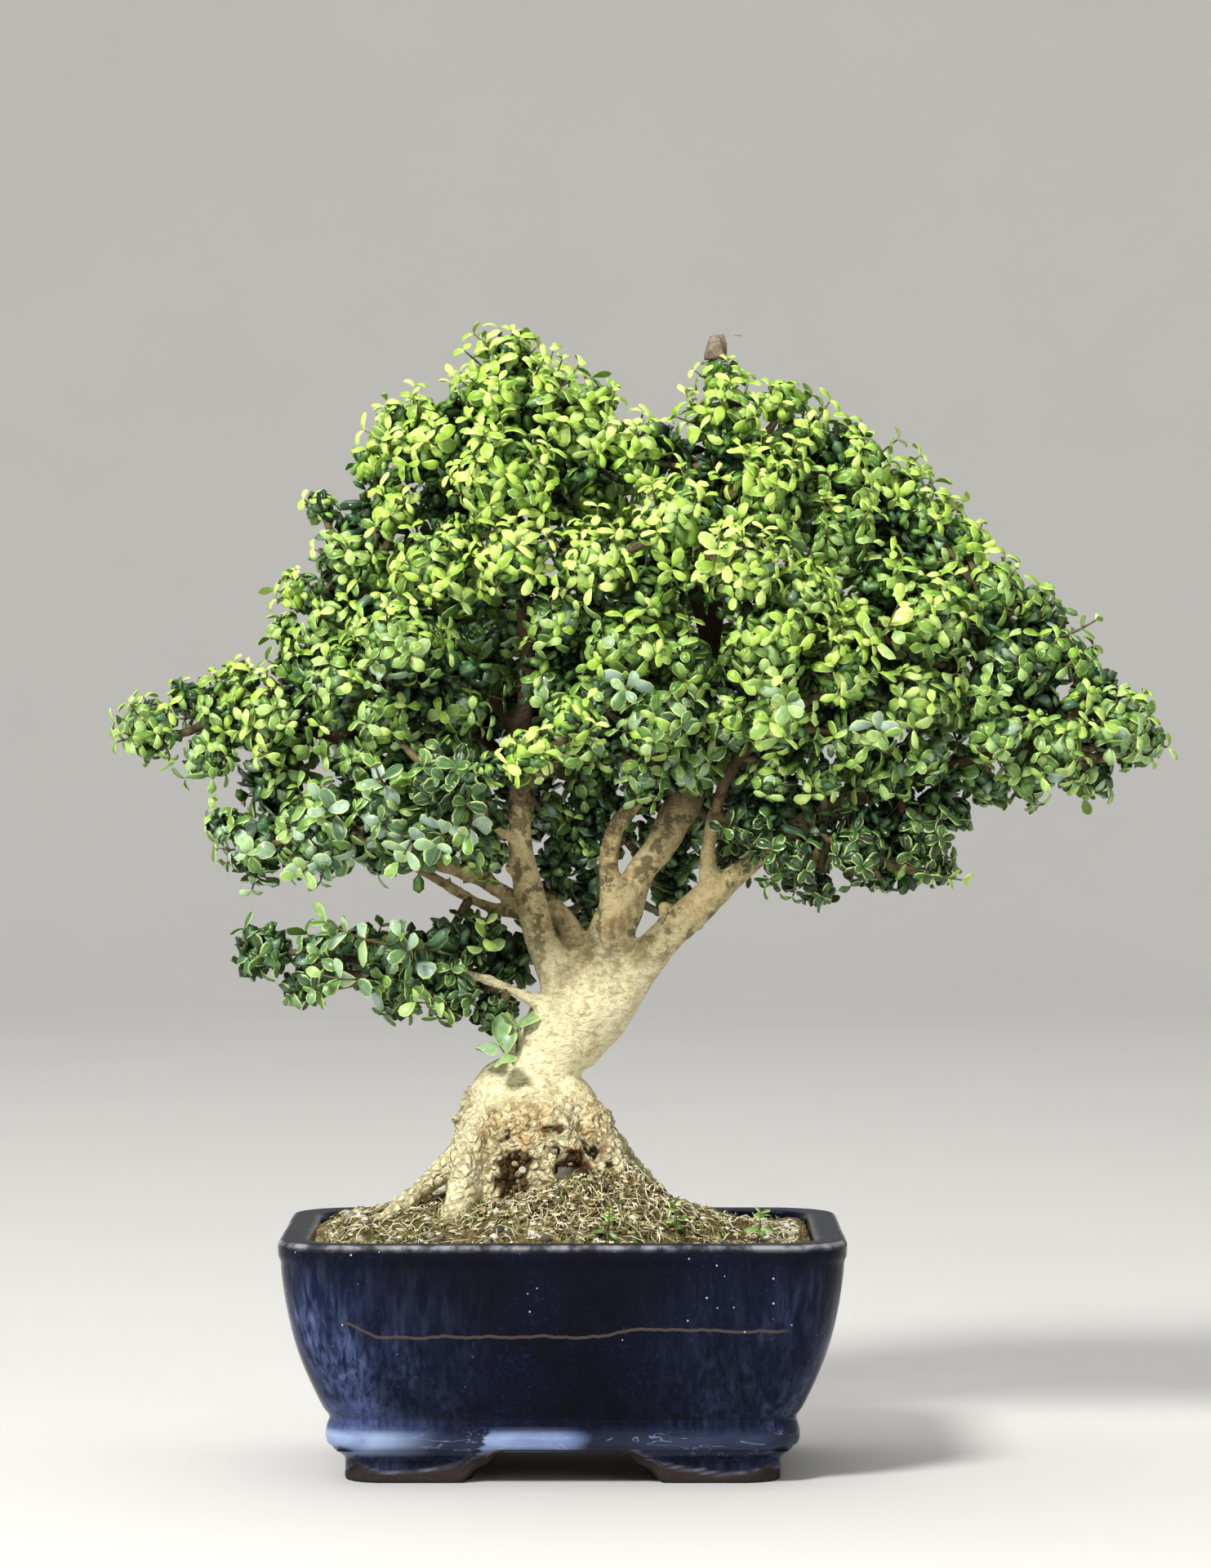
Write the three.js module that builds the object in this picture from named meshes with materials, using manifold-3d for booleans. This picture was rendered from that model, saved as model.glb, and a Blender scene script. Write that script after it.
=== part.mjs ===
// A kingsville boxwood bonsai in a blue glazed pot, in millimetres, +Z up, its front toward -Y.
// It is drawn about the middle of the pot and then moved sideways, because the crown leans to the
// right, so that the origin is the middle of the underside of the whole object.
import * as THREE from 'three';
import { mergeVertices } from 'three/addons/utils/BufferGeometryUtils.js';
import Module from 'manifold-3d';

const wasm = await Module();
wasm.setup();

// Driving dimensions of the pot.
const POT_HALF_WIDTH = 76.7;
const POT_HALF_DEPTH = 57;
const POT_HEIGHT = 66;
const POT_CORNER = 18;
const CORNER_TIGHTENING = 0.42;
const FOOT_INSET = 17.6;
const FOOT_BAND = 8;
const FOOT_TOP = 9.6;
const FOOT_GAP_HALF_FRONT = 25;
const FOOT_GAP_HALF_SIDE = 17;
const FOOT_GAP_TOP = 8.4;
const DRAIN_RADIUS = 6;
const DRAIN_OFFSET = 31;
const FLOOR_TOP = 15;

// How far the middle of the whole object lies to the right of the pot's.
const OBJECT_MIDDLE = 21.5;

// Clearance between touching pieces.
const GAP = 0.35;

// Corners of cut pieces lie on a grid of this pitch.
const GRID = 0.004;

// The drain screens.
const SCREEN_SIZE = 22;
const SCREEN_THICK = 1.2;
const SCREEN_HOLE = 2.6;
const SCREEN_PITCH = 4.4;

// The soil: its edge, and the mound round the roots.
const SOIL_EDGE = 63.6;
const MOUND_RISE = 14;
const MOUND_AT = new THREE.Vector2(-7, -2);

// Leaves are larger than life, so that they still cover the crown.
const LEAF_LENGTH = 19;
const LEAF_WIDTH = 12;
const LEAF_THICK = 1.4;
const LEAF_ARCH = 0.5;
const LEAF_BEND_AT = 0.58;
const LEAF_TIP_SHARE = 0.46;
const STEM_HALF = 1.15;
const PAIR_SPACING = 3.1;
const CORE_DEPTH = 6.5;
const LEAST_CORE = 7;
const MOST_CORE = 11.5;
const TERRITORY_MARGIN = 0.3;
const SHOOT_SIZES = [1.08, 0.98, 0.86, 0.72];
const SHOOT_SPINS = [0, 0.4, 0.8, 1.2];
const PLACES_PER_LOBE = 40;
const SHOOTS_AT = 0.8;
const LOBE_SHADE = 0.74;
const LEAST_OUTWARD = -0.1;
const LOWEST_RISE = -0.75;
const WIDEST_GAP = 40;
const SHOOT_HEIGHT = 7.5;

// A core's corners reach this share of its radius at most; a shoot's first corners are its stem's.
const CORE_SPREAD = 0.98;
const STEM_CORNERS = 12;

// Bars between the cores of one head.
const LINK_RADIUS = 2.4;
const LINKED_BEYOND = 0.8;

// The first seed of the crown's random draws.
const FIRST_SEED = 7001;

const glaze = new THREE.MeshStandardMaterial({ color: 0x161b2b, roughness: 0.12, metalness: 0 });
const earth = new THREE.MeshStandardMaterial({ color: 0x8f8552, roughness: 0.95, metalness: 0 });
const bark = new THREE.MeshStandardMaterial({ color: 0xd8cb93, roughness: 0.9, metalness: 0 });
const plastic = new THREE.MeshStandardMaterial({ color: 0x1d1f1d, roughness: 0.6, metalness: 0 });
const greyStone = new THREE.MeshStandardMaterial({ color: 0x8d8d86, roughness: 0.85, metalness: 0 });
const leafGreen = new THREE.MeshStandardMaterial({ color: 0x7fa04a, roughness: 0.4, metalness: 0 });
const weedGreen = new THREE.MeshStandardMaterial({ color: 0x8fb862, roughness: 0.5, metalness: 0 });
const driedHusk = new THREE.MeshStandardMaterial({ color: 0xb49a6a, roughness: 0.8, metalness: 0 });

const up = new THREE.Vector3(0, 0, 1);
const point = (x, y, z) => new THREE.Vector3(x, y, z);

// A repeatable draw between 0 and 1 (mulberry32).
function makeRandom(seed) {
  let state = seed;
  return () => {
    state = (state + 0x6d2b79f5) | 0;
    let mixed = Math.imul(state ^ (state >>> 15), 1 | state);
    mixed = (mixed + Math.imul(mixed ^ (mixed >>> 7), 61 | mixed)) ^ mixed;
    return ((mixed ^ (mixed >>> 14)) >>> 0) / 4294967296;
  };
}

// A closed geometry of bare positions and triangles, turned so that its faces point out.
function closedGeometry(positions, index) {
  const geometry = new THREE.BufferGeometry();
  geometry.setAttribute('position', new THREE.Float32BufferAttribute(positions, 3));
  let volume = 0;
  const [a, b, c] = [point(0, 0, 0), point(0, 0, 0), point(0, 0, 0)];
  for (let i = 0; i < index.length; i += 3) {
    a.fromArray(positions, index[i] * 3);
    b.fromArray(positions, index[i + 1] * 3);
    c.fromArray(positions, index[i + 2] * 3);
    volume += a.dot(b.clone().cross(c));
  }
  geometry.setIndex(volume < 0 ? index.slice().reverse() : index);
  return geometry;
}

function toSolid(geometry) {
  const bare = geometry.clone();
  bare.deleteAttribute('normal');
  bare.deleteAttribute('uv');
  const merged = mergeVertices(bare, 1e-4);
  const vertProperties = new Float32Array(merged.attributes.position.array);
  const triVerts = new Uint32Array(merged.index.array);
  return new wasm.Manifold(new wasm.Mesh({ numProp: 3, vertProperties, triVerts }));
}

function toGeometry(solid) {
  const mesh = solid.getMesh();
  const geometry = new THREE.BufferGeometry();
  geometry.setAttribute('position', new THREE.BufferAttribute(mesh.vertProperties, 3));
  geometry.setIndex(new THREE.BufferAttribute(mesh.triVerts, 1));
  geometry.computeVertexNormals();
  return geometry;
}

const joined = (solids) => solids.reduce((whole, next) => whole.add(next));

// Triangles without those that have lost their area, or that lie back to back on another one.
function withoutFlatFolds(index) {
  const faces = new Map();
  for (let i = 0; i < index.length; i += 3) {
    const face = index.slice(i, i + 3);
    const key = [...face].sort((a, b) => a - b).join();
    if (new Set(face).size === 3 && !faces.delete(key)) faces.set(key, face);
  }
  return [...faces.values()].flat();
}

// Whether every edge has just two faces, so that no two parts of the solid only meet in an edge.
function everyEdgePaired(solid) {
  const merged = mergeVertices(toGeometry(solid).deleteAttribute('normal'), GRID / 4);
  const index = Array.from(merged.index.array);
  const uses = new Map();
  index.forEach((from, i) => {
    const to = index[i % 3 === 2 ? i - 2 : i + 1];
    const key = `${Math.min(from, to)} ${Math.max(from, to)}`;
    uses.set(key, (uses.get(key) ?? 0) + 1);
  });
  return [...uses.values()].every((count) => count === 2);
}

// The largest body of a solid, without the loose scraps and closed pockets that cuts leave,
// its corners moved to a fine grid so that no two are nearer than that.
function mainBody(solid) {
  const snapped = toGeometry(solid).deleteAttribute('normal');
  const place = snapped.attributes.position;
  for (let i = 0; i < place.array.length; i += 1) {
    place.array[i] = Math.round(place.array[i] / GRID) * GRID;
  }
  const merged = mergeVertices(snapped, GRID / 100);
  merged.setIndex(withoutFlatFolds(Array.from(merged.index.array)));
  const bodies = toSolid(merged).decompose();
  const largest = bodies.reduce((best, body) => (body.volume() > best.volume() ? body : best));
  return bodies.length > 1 ? mainBody(largest) : largest;
}

// The pot's outline at an inset from the rim: a rounded rectangle of cornerSteps per corner
// and sideSteps per side, the same count at every inset.
function potOutline(inset, z, cornerSteps, sideSteps = 1) {
  const halfX = POT_HALF_WIDTH - inset;
  const halfY = POT_HALF_DEPTH - inset;
  const radius = Math.max(POT_CORNER - CORNER_TIGHTENING * inset, 3);
  const corners = [[1, 1], [-1, 1], [-1, -1], [1, -1]];
  const outline = [];
  corners.forEach(([sx, sy], corner) => {
    for (let i = 0; i <= cornerSteps; i += 1) {
      const angle = (corner + i / cornerSteps) * Math.PI / 2;
      const x = sx * (halfX - radius) + radius * Math.cos(angle);
      const y = sy * (halfY - radius) + radius * Math.sin(angle);
      outline.push(point(x, y, z));
    }
  });
  const dense = [];
  outline.forEach((from, i) => {
    const to = outline[(i + 1) % outline.length];
    const steps = i % (cornerSteps + 1) === cornerSteps ? sideSteps : 1;
    for (let k = 0; k < steps; k += 1) dense.push(from.clone().lerp(to, k / steps));
  });
  return dense;
}

// A skin through rings of equal count, closed by a fan at each end, or ring to ring if looped.
function skin(rings, looped = false) {
  const positions = rings.flat().flatMap((p) => p.toArray());
  const count = rings[0].length;
  const index = [];
  const steps = looped ? rings.length : rings.length - 1;
  for (let r = 0; r < steps; r += 1) {
    for (let i = 0; i < count; i += 1) {
      const a = r * count + i;
      const b = r * count + ((i + 1) % count);
      const c = ((r + 1) % rings.length) * count + i;
      const d = ((r + 1) % rings.length) * count + ((i + 1) % count);
      index.push(a, b, d, a, d, c);
    }
  }
  if (!looped) {
    [[0, true], [rings.length - 1, false]].forEach(([r, flip]) => {
      const centre = rings[r].reduce((sum, p) => sum.add(p), point(0, 0, 0)).divideScalar(count);
      positions.push(...centre.toArray());
      const hub = positions.length / 3 - 1;
      for (let i = 0; i < count; i += 1) {
        const a = r * count + i;
        const b = r * count + ((i + 1) % count);
        index.push(...(flip ? [hub, b, a] : [hub, a, b]));
      }
    });
  }
  return closedGeometry(positions, index);
}

// The pot wall's profile as insets from the rim and heights, outside then inside.
const OUTER_PROFILE = [
  [15.8, 8.8], [12.9, 10.2], [12.4, 14], [13.5, 17.4], [11.7, 20], [7.0, 30.4], [3.4, 42],
  [0.9, 57], [0.9, 60.6], [0, 62], [0, 64.6], [1.0, POT_HEIGHT],
];
const INNER_PROFILE = [
  [7.6, POT_HEIGHT - 0.2], [8.5, 64.8], [9.2, 50], [13, 33], [18.4, 20.5], [24, FLOOR_TOP],
];

function makePot() {
  const wall = [...OUTER_PROFILE, ...INNER_PROFILE].map(([inset, z]) => potOutline(inset, z, 4));
  const band = [[FOOT_INSET, 0], [FOOT_INSET, FOOT_TOP],
    [FOOT_INSET + FOOT_BAND, FOOT_TOP], [FOOT_INSET + FOOT_BAND, 0]];
  const plinth = skin(band.map(([inset, z]) => potOutline(inset, z, 4)), true);
  let pot = toSolid(skin(wall)).add(toSolid(plinth));
  [[FOOT_GAP_HALF_FRONT, 0], [FOOT_GAP_HALF_SIDE, Math.PI / 2]].forEach(([half, turn]) => {
    pot = pot.subtract(toSolid(footTunnel(half).rotateZ(turn)));
  });
  [-1, 1].forEach((side) => {
    const drill = new THREE.CylinderGeometry(DRAIN_RADIUS, DRAIN_RADIUS, 30, 16).rotateX(Math.PI / 2);
    pot = pot.subtract(toSolid(drill.translate(side * DRAIN_OFFSET, 0, FLOOR_TOP)));
  });
  return pot;
}

// The gap between two bracket feet: wide at the floor, with a curved shoulder at each side.
function footTunnel(half) {
  const shape = new THREE.Shape();
  shape.moveTo(-half, -1);
  shape.lineTo(-half, 1.2);
  shape.quadraticCurveTo(-half + 1, 4.6, -half + 4.4, 4.9);
  shape.quadraticCurveTo(-half + 7.2, 5.4, -half + 7.6, FOOT_GAP_TOP);
  shape.lineTo(half - 7.6, FOOT_GAP_TOP);
  shape.quadraticCurveTo(half - 7.2, 5.4, half - 4.4, 4.9);
  shape.quadraticCurveTo(half - 1, 4.6, half, 1.2);
  shape.lineTo(half, -1);
  const length = 3 * POT_HALF_DEPTH;
  const tunnel = new THREE.ExtrudeGeometry(shape, { depth: length, bevelEnabled: false, curveSegments: 3 });
  return tunnel.translate(0, 0, -length / 2).rotateX(Math.PI / 2);
}

// A square plastic screen with a grid of square holes, lying on the pot's floor.
function makeScreen(side) {
  let screen = toSolid(new THREE.BoxGeometry(SCREEN_SIZE, SCREEN_SIZE, SCREEN_THICK));
  for (let i = -0.5; i <= 0.5; i += 1) {
    for (let j = -0.5; j <= 0.5; j += 1) {
      const hole = new THREE.BoxGeometry(SCREEN_HOLE, SCREEN_HOLE, 3 * SCREEN_THICK);
      screen = screen.subtract(toSolid(hole.translate(i * SCREEN_PITCH, j * SCREEN_PITCH, 0)));
    }
  }
  return screen.translate([side * DRAIN_OFFSET, 0, FLOOR_TOP + GAP + SCREEN_THICK / 2]);
}

// Height of the soil at a place: level at the pot's wall, a mound at the roots, low lumps.
function soilHeight(x, y) {
  const reachX = POT_HALF_WIDTH - 10;
  const reachY = POT_HALF_DEPTH - 10;
  const out = Math.min(Math.hypot((x - MOUND_AT.x) / reachX, (y - MOUND_AT.y) / reachY), 1);
  const lumps = 0.7 * Math.sin(x * 0.21 + 1) * Math.cos(y * 0.27) + 0.5 * Math.sin(x * 0.13 - y * 0.31);
  return SOIL_EDGE + MOUND_RISE * (1 - out ** 1.6) + lumps * Math.min(1, 3 * (1 - out));
}

function makeSoil() {
  const clear = 0.42;
  const inside = INNER_PROFILE.slice(2).reverse();
  const wall = inside.map(([inset, z], i) => potOutline(inset + clear, i ? z : z + GAP, 2, 3));
  const edge = potOutline(9.4, SOIL_EDGE - 0.6, 2, 3);
  const shrunk = (share) => edge.map((p) => {
    const x = MOUND_AT.x + (p.x - MOUND_AT.x) * share;
    const y = MOUND_AT.y + (p.y - MOUND_AT.y) * share;
    return point(x, y, soilHeight(x, y));
  });
  const top = [0.97, 0.8, 0.62, 0.42, 0.2].map(shrunk);
  return toSolid(skin([...wall, edge, ...top]));
}

// A tapered limb along hand-placed stations [x, y, z, radius], with soft ribs along its sides.
function makeLimb({ stations, sides = 6, steps = 4, ribs = 0, grow = 0 }) {
  const route = stations.map(([x, y, z]) => point(x, y, z));
  const path = new THREE.CatmullRomCurve3(route, false, 'centripetal');
  const frames = path.computeFrenetFrames(steps, false);
  const limb = new THREE.CylinderGeometry(1, 1, 1, sides, steps);
  const place = limb.attributes.position;
  const unit = point(0, 0, 0);
  for (let i = 0; i < place.count; i += 1) {
    unit.fromBufferAttribute(place, i);
    const row = Math.round((unit.y + 0.5) * steps);
    const along = path.getUtoTmapping(row / steps) * (stations.length - 1);
    const station = Math.min(Math.floor(along), stations.length - 2);
    const radius = THREE.MathUtils.lerp(stations[station][3], stations[station + 1][3], along - station);
    const angle = Math.atan2(unit.z, unit.x);
    const swell = 1 + ribs * (Math.sin(3 * angle + row * 0.5) + 0.6 * Math.sin(5 * angle - row * 0.9));
    const reach = Math.hypot(unit.x, unit.z) * (radius * swell + grow);
    const spot = path.getPointAt(row / steps);
    spot.addScaledVector(frames.normals[row], Math.cos(angle) * reach);
    spot.addScaledVector(frames.binormals[row], Math.sin(angle) * reach);
    if (row === 0) spot.addScaledVector(frames.tangents[0], -grow);
    if (row === steps) spot.addScaledVector(frames.tangents[steps], grow);
    place.setXYZ(i, spot.x, spot.y, spot.z);
  }
  const merged = mergeVertices(stripped(limb), 1e-4);
  const corners = Array.from(merged.attributes.position.array);
  return toSolid(closedGeometry(corners, Array.from(merged.index.array)));
}

function stripped(geometry) {
  geometry.deleteAttribute('normal');
  geometry.deleteAttribute('uv');
  return geometry;
}

// The wood: the stock with its surface roots, then the limbs, each ending inside a leafy head.
const STOCK = [
  { ribs: 0.05, sides: 9, steps: 9, stations: [[-8, 0, 48, 16], [-8, -1, 62, 22.5], [-7.5, -1, 77, 22.5],
    [-9, 0, 90, 20], [-11, 0, 101, 16.5], [-10, 0, 107, 13], [-6, 0, 113, 11.3], [-1, 0, 123, 12.4],
    [4.5, 1, 133, 13.4], [9, 2, 142, 9.5]] },
  { sides: 6, steps: 4, stations: [[-17, -10, 98, 6], [-25, -17, 88, 5.4], [-27.5, -22, 77, 4.8],
    [-33, -27, 62, 4]] },
  { sides: 5, steps: 3, stations: [[-22, -8, 88, 6.5], [-34, -11, 80, 4], [-44, -14, 73, 3.2],
    [-52, -16, 65, 2.6]] },
  { sides: 5, steps: 3, stations: [
    [6, -8, 94, 6], [13, -14, 86, 5], [18, -18, 76, 4.6], [24, -22, 66, 3.6]] },
  { sides: 5, steps: 3, stations: [[-6, -14, 98, 5], [1, -19, 91, 4], [7, -21, 82, 3.6], [9, -23, 74, 3]] },
  { sides: 5, steps: 2, stations: [[6, 6, 90, 7], [17, 10, 80, 5.5], [30, 13, 66, 3.6]] },
  { sides: 5, steps: 2, stations: [[-2, 12, 90, 7], [3, 23, 78, 5.5], [8, 32, 66, 3.4]] },
  { sides: 5, steps: 2, stations: [[-18, 10, 88, 7], [-26, 20, 77, 5.5], [-34, 27, 66, 3.4]] },
];
const LIMBS = [
  // Left limb, rising into the left head of the apex.
  { sides: 6, steps: 8, stations: [[1, -1, 135, 6], [-5.6, -3, 144, 4.2], [-8.6, -4, 155, 4.3],
    [-11.7, -4, 170, 3.3], [-12, -4, 180, 3], [-12, -3, 196, 2.7], [-10, -3, 222, 2.4], [-12, -3, 250, 2.1],
    [-14, -4, 288, 1.6]] },
  // The knob on its left side.
  { sides: 5, steps: 1, stations: [[-10, -4, 163, 2.6], [-14, -5, 165, 2.2], [-15.8, -5, 166, 1.2]] },
  // Back limb that forks toward the left heads.
  { sides: 5, steps: 3, stations: [
    [6, 5, 138, 6], [-4, 7, 153.5, 3.4], [-13, 8, 156, 2.4], [-30, 8, 164, 1.9],
    [-66, -13, 176, 1.4]] },
  { sides: 4, steps: 3, stations: [[-6, 7, 152, 2.4], [-14, 9, 152, 1.7], [-26, 10, 156, 1.5],
    [-60, 12, 176, 1.3]] },
  { sides: 4, steps: 4, stations: [[-20, 8, 160, 1.9], [-40, 10, 186, 1.9], [-62, 8, 200, 1.8],
    [-84, 2, 206, 1.6], [-95.5, 0, 208, 1.3]] },
  { sides: 4, steps: 3, stations: [[-12, -3, 200, 2.1], [-24, -4, 218, 1.9], [-40, -8, 236, 1.7],
    [-54, -3, 246, 1.4]] },
  { sides: 4, steps: 2, stations: [[-12, -2, 192, 2.1], [-22, 16, 200, 1.9], [-43, 41, 219, 1.5]] },
  { sides: 4, steps: 2, stations: [[-12, -4, 172, 1.9], [-20, -16, 178, 1.6], [-30, -42, 189, 1.3]] },
  { sides: 4, steps: 2, stations: [[-12, -4, 186, 1.9], [-9, -24, 190, 1.6], [-8.5, -57, 197.5, 1.3]] },
  // Centre limb and its two arms.
  { sides: 7, steps: 3, stations: [
    [9, 1, 132, 8], [13, 0, 146, 6.4], [16.5, 0, 155, 6.2], [17, 0, 160, 5]] },
  { sides: 5, steps: 5, stations: [[14, -1, 154, 3.6], [12.4, -2, 165, 2.6], [14.6, -4, 176, 2.5],
    [22, -10, 187, 2.3], [26, -34, 206, 1.5]] },
  { sides: 6, steps: 6, stations: [
    [18, 0, 154, 4.4], [21, 1, 163, 3.9], [27, 1, 171, 4.4], [31, 1, 179, 5.2],
    [35, 1, 187, 4.6], [38, 2, 206, 3], [42, 1, 236, 2.3], [47, -1, 283, 1.5]] },
  { sides: 4, steps: 2, stations: [[38, 2, 208, 2.2], [28, 18, 222, 1.9], [7, 45, 233, 1.5]] },
  { sides: 4, steps: 2, stations: [[40, 1, 226, 2], [36, -8, 240, 1.8], [30, -26, 257, 1.4]] },
  { sides: 4, steps: 2, stations: [[37, 2, 200, 2.2], [52, 18, 212, 1.9], [67, 40, 237, 1.5]] },
  // Right limb, its stub and its forks.
  { sides: 6, steps: 4, stations: [[12, -2, 126, 8], [18, -3, 134, 5.6], [26.3, -4, 144, 4.9],
    [35, -5, 152.6, 4.8], [43, -5, 160, 4.4]] },
  { sides: 5, steps: 1, stations: [[30, -4, 149, 2.6], [28, -4, 153.4, 2.1], [27.4, -4, 155.6, 1.2]] },
  { sides: 5, steps: 4, stations: [
    [41, -5, 158, 3], [39.8, -5, 167, 2.2], [41, -8, 178, 2], [46, -14, 192, 1.9],
    [57.5, -31, 208.5, 1.4]] },
  { sides: 5, steps: 6, stations: [
    [42, -5, 159, 3.6], [50, -5, 165, 2.8], [57, -5, 171, 2.7], [66, -5, 178, 2.5],
    [92, -4, 188, 2.2], [116, -4, 196, 1.9], [137, -8, 199, 1.4]] },
  { sides: 4, steps: 2, stations: [[86, -4, 186, 2], [98, -4, 204, 1.8], [117, -8, 237, 1.4]] },
  { sides: 4, steps: 2, stations: [[62, -5, 175, 2], [70, -9, 173.5, 1.7], [80.5, -17, 171.5, 1.4]] },
  // Low left twig to the lowest head.
  { sides: 5, steps: 4, stations: [[-2, -4, 126, 3], [-10, -6, 129.5, 1.8], [-21.6, -8, 134.6, 1.5],
    [-34, -10, 136.2, 1.4], [-48, -12, 138, 1.3]] },
];

const HOLLOW_IN_ROOTS = [
  { centre: point(-14, -24, 84), size: point(4.6, 6, 8) },
  { centre: point(0.5, -21, 82.6), size: point(5.4, 6.4, 5.4) },
];
const PEBBLE = { centre: point(0.8, -20.5, 80.9), size: point(3.5, 3, 3.1) };

function makeWood(grow = 0) {
  const pieces = [...STOCK, ...LIMBS].map((limb) => makeLimb({ ...limb, grow }));
  return joined(pieces);
}

function lump(centre, size, detail) {
  const ball = new THREE.IcosahedronGeometry(1, detail);
  ball.scale(size.x, size.y, size.z);
  return toSolid(ball.translate(centre.x, centre.y, centre.z));
}

// The crown's leafy heads: each is a cluster of lobes [x, y, z, radius of the leaf tips],
// with the number of leafy shoots that stand out of it.
const HEADS = {
  apex_left: { shoots: 8, lobes: [
    [-14, -4, 292, 24], [-34, -8, 281, 20], [6, -2, 285, 19], [-12, 19, 278, 21],
    [-16, -24, 272, 20]] },
  apex_right: { draw: 10, shoots: 7, lobes: [
    [45, -2, 286, 19], [64, 3, 281, 19], [81, 0, 274, 17], [54, -20, 268, 19],
    [60, 24, 268, 20]] },
  crown_middle: { draw: 10, shoots: 6, lobes: [[30, -28, 259, 18], [10, -32, 248, 17], [50, -38, 246, 17],
    [-13, -32, 251, 15]] },
  left_shoulder: { shoots: 7, lobes: [[-56, -2, 249, 19], [-36, -22, 246, 18], [-62, -4, 232, 18],
    [-38, 14, 250, 19], [-44, -34, 227, 18], [-49, -24, 206, 15]] },
  left_arm: { shoots: 6, lobes: [[-111, -6, 205, 15], [-95, 0, 208, 17], [-80, -12, 207, 17],
    [-86, 14, 206, 15], [-63, -14, 210, 15]] },
  left_middle: { shoots: 5, lobes: [[-84, -8, 172, 15], [-67, -16, 176, 18], [-48, -24, 181, 16],
    [-62, 14, 178, 16]] },
  front_left: { shoots: 3, lobes: [[-30, -44, 190, 15], [-33, -36, 174, 12]] },
  front_sprig: { shoots: 3, lobes: [[-9, -60, 197, 13], [3, -52, 206, 12]] },
  middle: { shoots: 5, lobes: [[16, -34, 226, 16], [26, -36, 206, 15], [35, -28, 220, 15]] },
  right_middle: { shoots: 7, lobes: [[57, -40, 228, 18], [75, -32, 218, 17], [58, -32, 208, 16],
    [80, -26, 203, 16], [98, -24, 212, 16], [99, -16, 196, 12]] },
  right_shoulder: { draw: 20, shoots: 7, lobes: [[100, -2, 256, 18], [118, -8, 240, 17], [102, -24, 234, 17],
    [133, -4, 224, 15], [108, 16, 240, 18], [120, -14, 222, 15]] },
  right_arm: { shoots: 6, lobes: [[152, -4, 202, 17], [136, -10, 199, 16], [138, 13, 200, 16],
    [119, -16, 203, 15], [128, -5, 190, 13]] },
  low_right: { shoots: 5, lobes: [[98, -10, 174, 15], [80, -18, 171, 15], [62, -22, 167, 13],
    [82, 12, 174, 15]] },
  low_left: { shoots: 6, lobes: [
    [-82, -4, 142, 12], [-66, -10, 140, 14], [-48, -12, 138, 14], [-31, -14, 131, 12],
    [-56, 11, 141, 13]] },
  back_left: { shoots: 4, lobes: [[-44, 42, 222, 21], [-60, 34, 206, 18], [-30, 48, 200, 18],
    [-24, 40, 243, 20]] },
  back_middle: { shoots: 4, lobes: [
    [4, 48, 232, 21], [30, 52, 222, 20], [10, 42, 257, 20], [36, 44, 248, 19]] },
  back_right: { shoots: 4, lobes: [[66, 42, 240, 19], [86, 34, 220, 20], [108, 28, 210, 18],
    [68, 46, 208, 18]] },
};
const CROWN_HEART = point(12, 0, 205);
const CROWN_BOX = new THREE.Box3(point(-127.5, -78, 112), point(170.5, 76, 316));

const lobesOf = (head) => head.lobes.map(([x, y, z, r]) => ({ centre: point(x, y, z), radius: r }));
const ALL_LOBES = Object.entries(HEADS).flatMap(([name, head]) =>
  lobesOf(head).map((lobe) => ({ ...lobe, name })));

// How far a place lies inside the border between its own lobe and a lobe of another head.
function borderRoom(place, own, other) {
  const power = (lobe) => place.distanceToSquared(lobe.centre) - lobe.radius ** 2;
  return (power(other) - power(own)) / (2 * own.centre.distanceTo(other.centre));
}

function insideTerritory(place, own) {
  return ALL_LOBES.every((other) => other.name === own.name
    || borderRoom(place, own, other) > TERRITORY_MARGIN);
}

function coreRadius(lobe) {
  return THREE.MathUtils.clamp(lobe.radius - CORE_DEPTH, LEAST_CORE, MOST_CORE);
}

// A lobe's woody core, its corners drawn in where another head begins.
function makeCore(lobe, random) {
  const core = new THREE.IcosahedronGeometry(1, 0).rotateX(0.4).rotateZ(random() * Math.PI);
  const merged = mergeVertices(stripped(core), 1e-4);
  const place = merged.attributes.position;
  for (let i = 0; i < place.count; i += 1) {
    const direction = point(0, 0, 0).fromBufferAttribute(place, i);
    let reach = coreRadius(lobe) * (0.95 + 0.15 * random());
    const spot = () => lobe.centre.clone().addScaledVector(direction, reach);
    while (!insideTerritory(spot(), lobe)) reach *= 0.93;
    place.setXYZ(i, ...spot().toArray());
  }
  return toSolid(merged);
}

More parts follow.
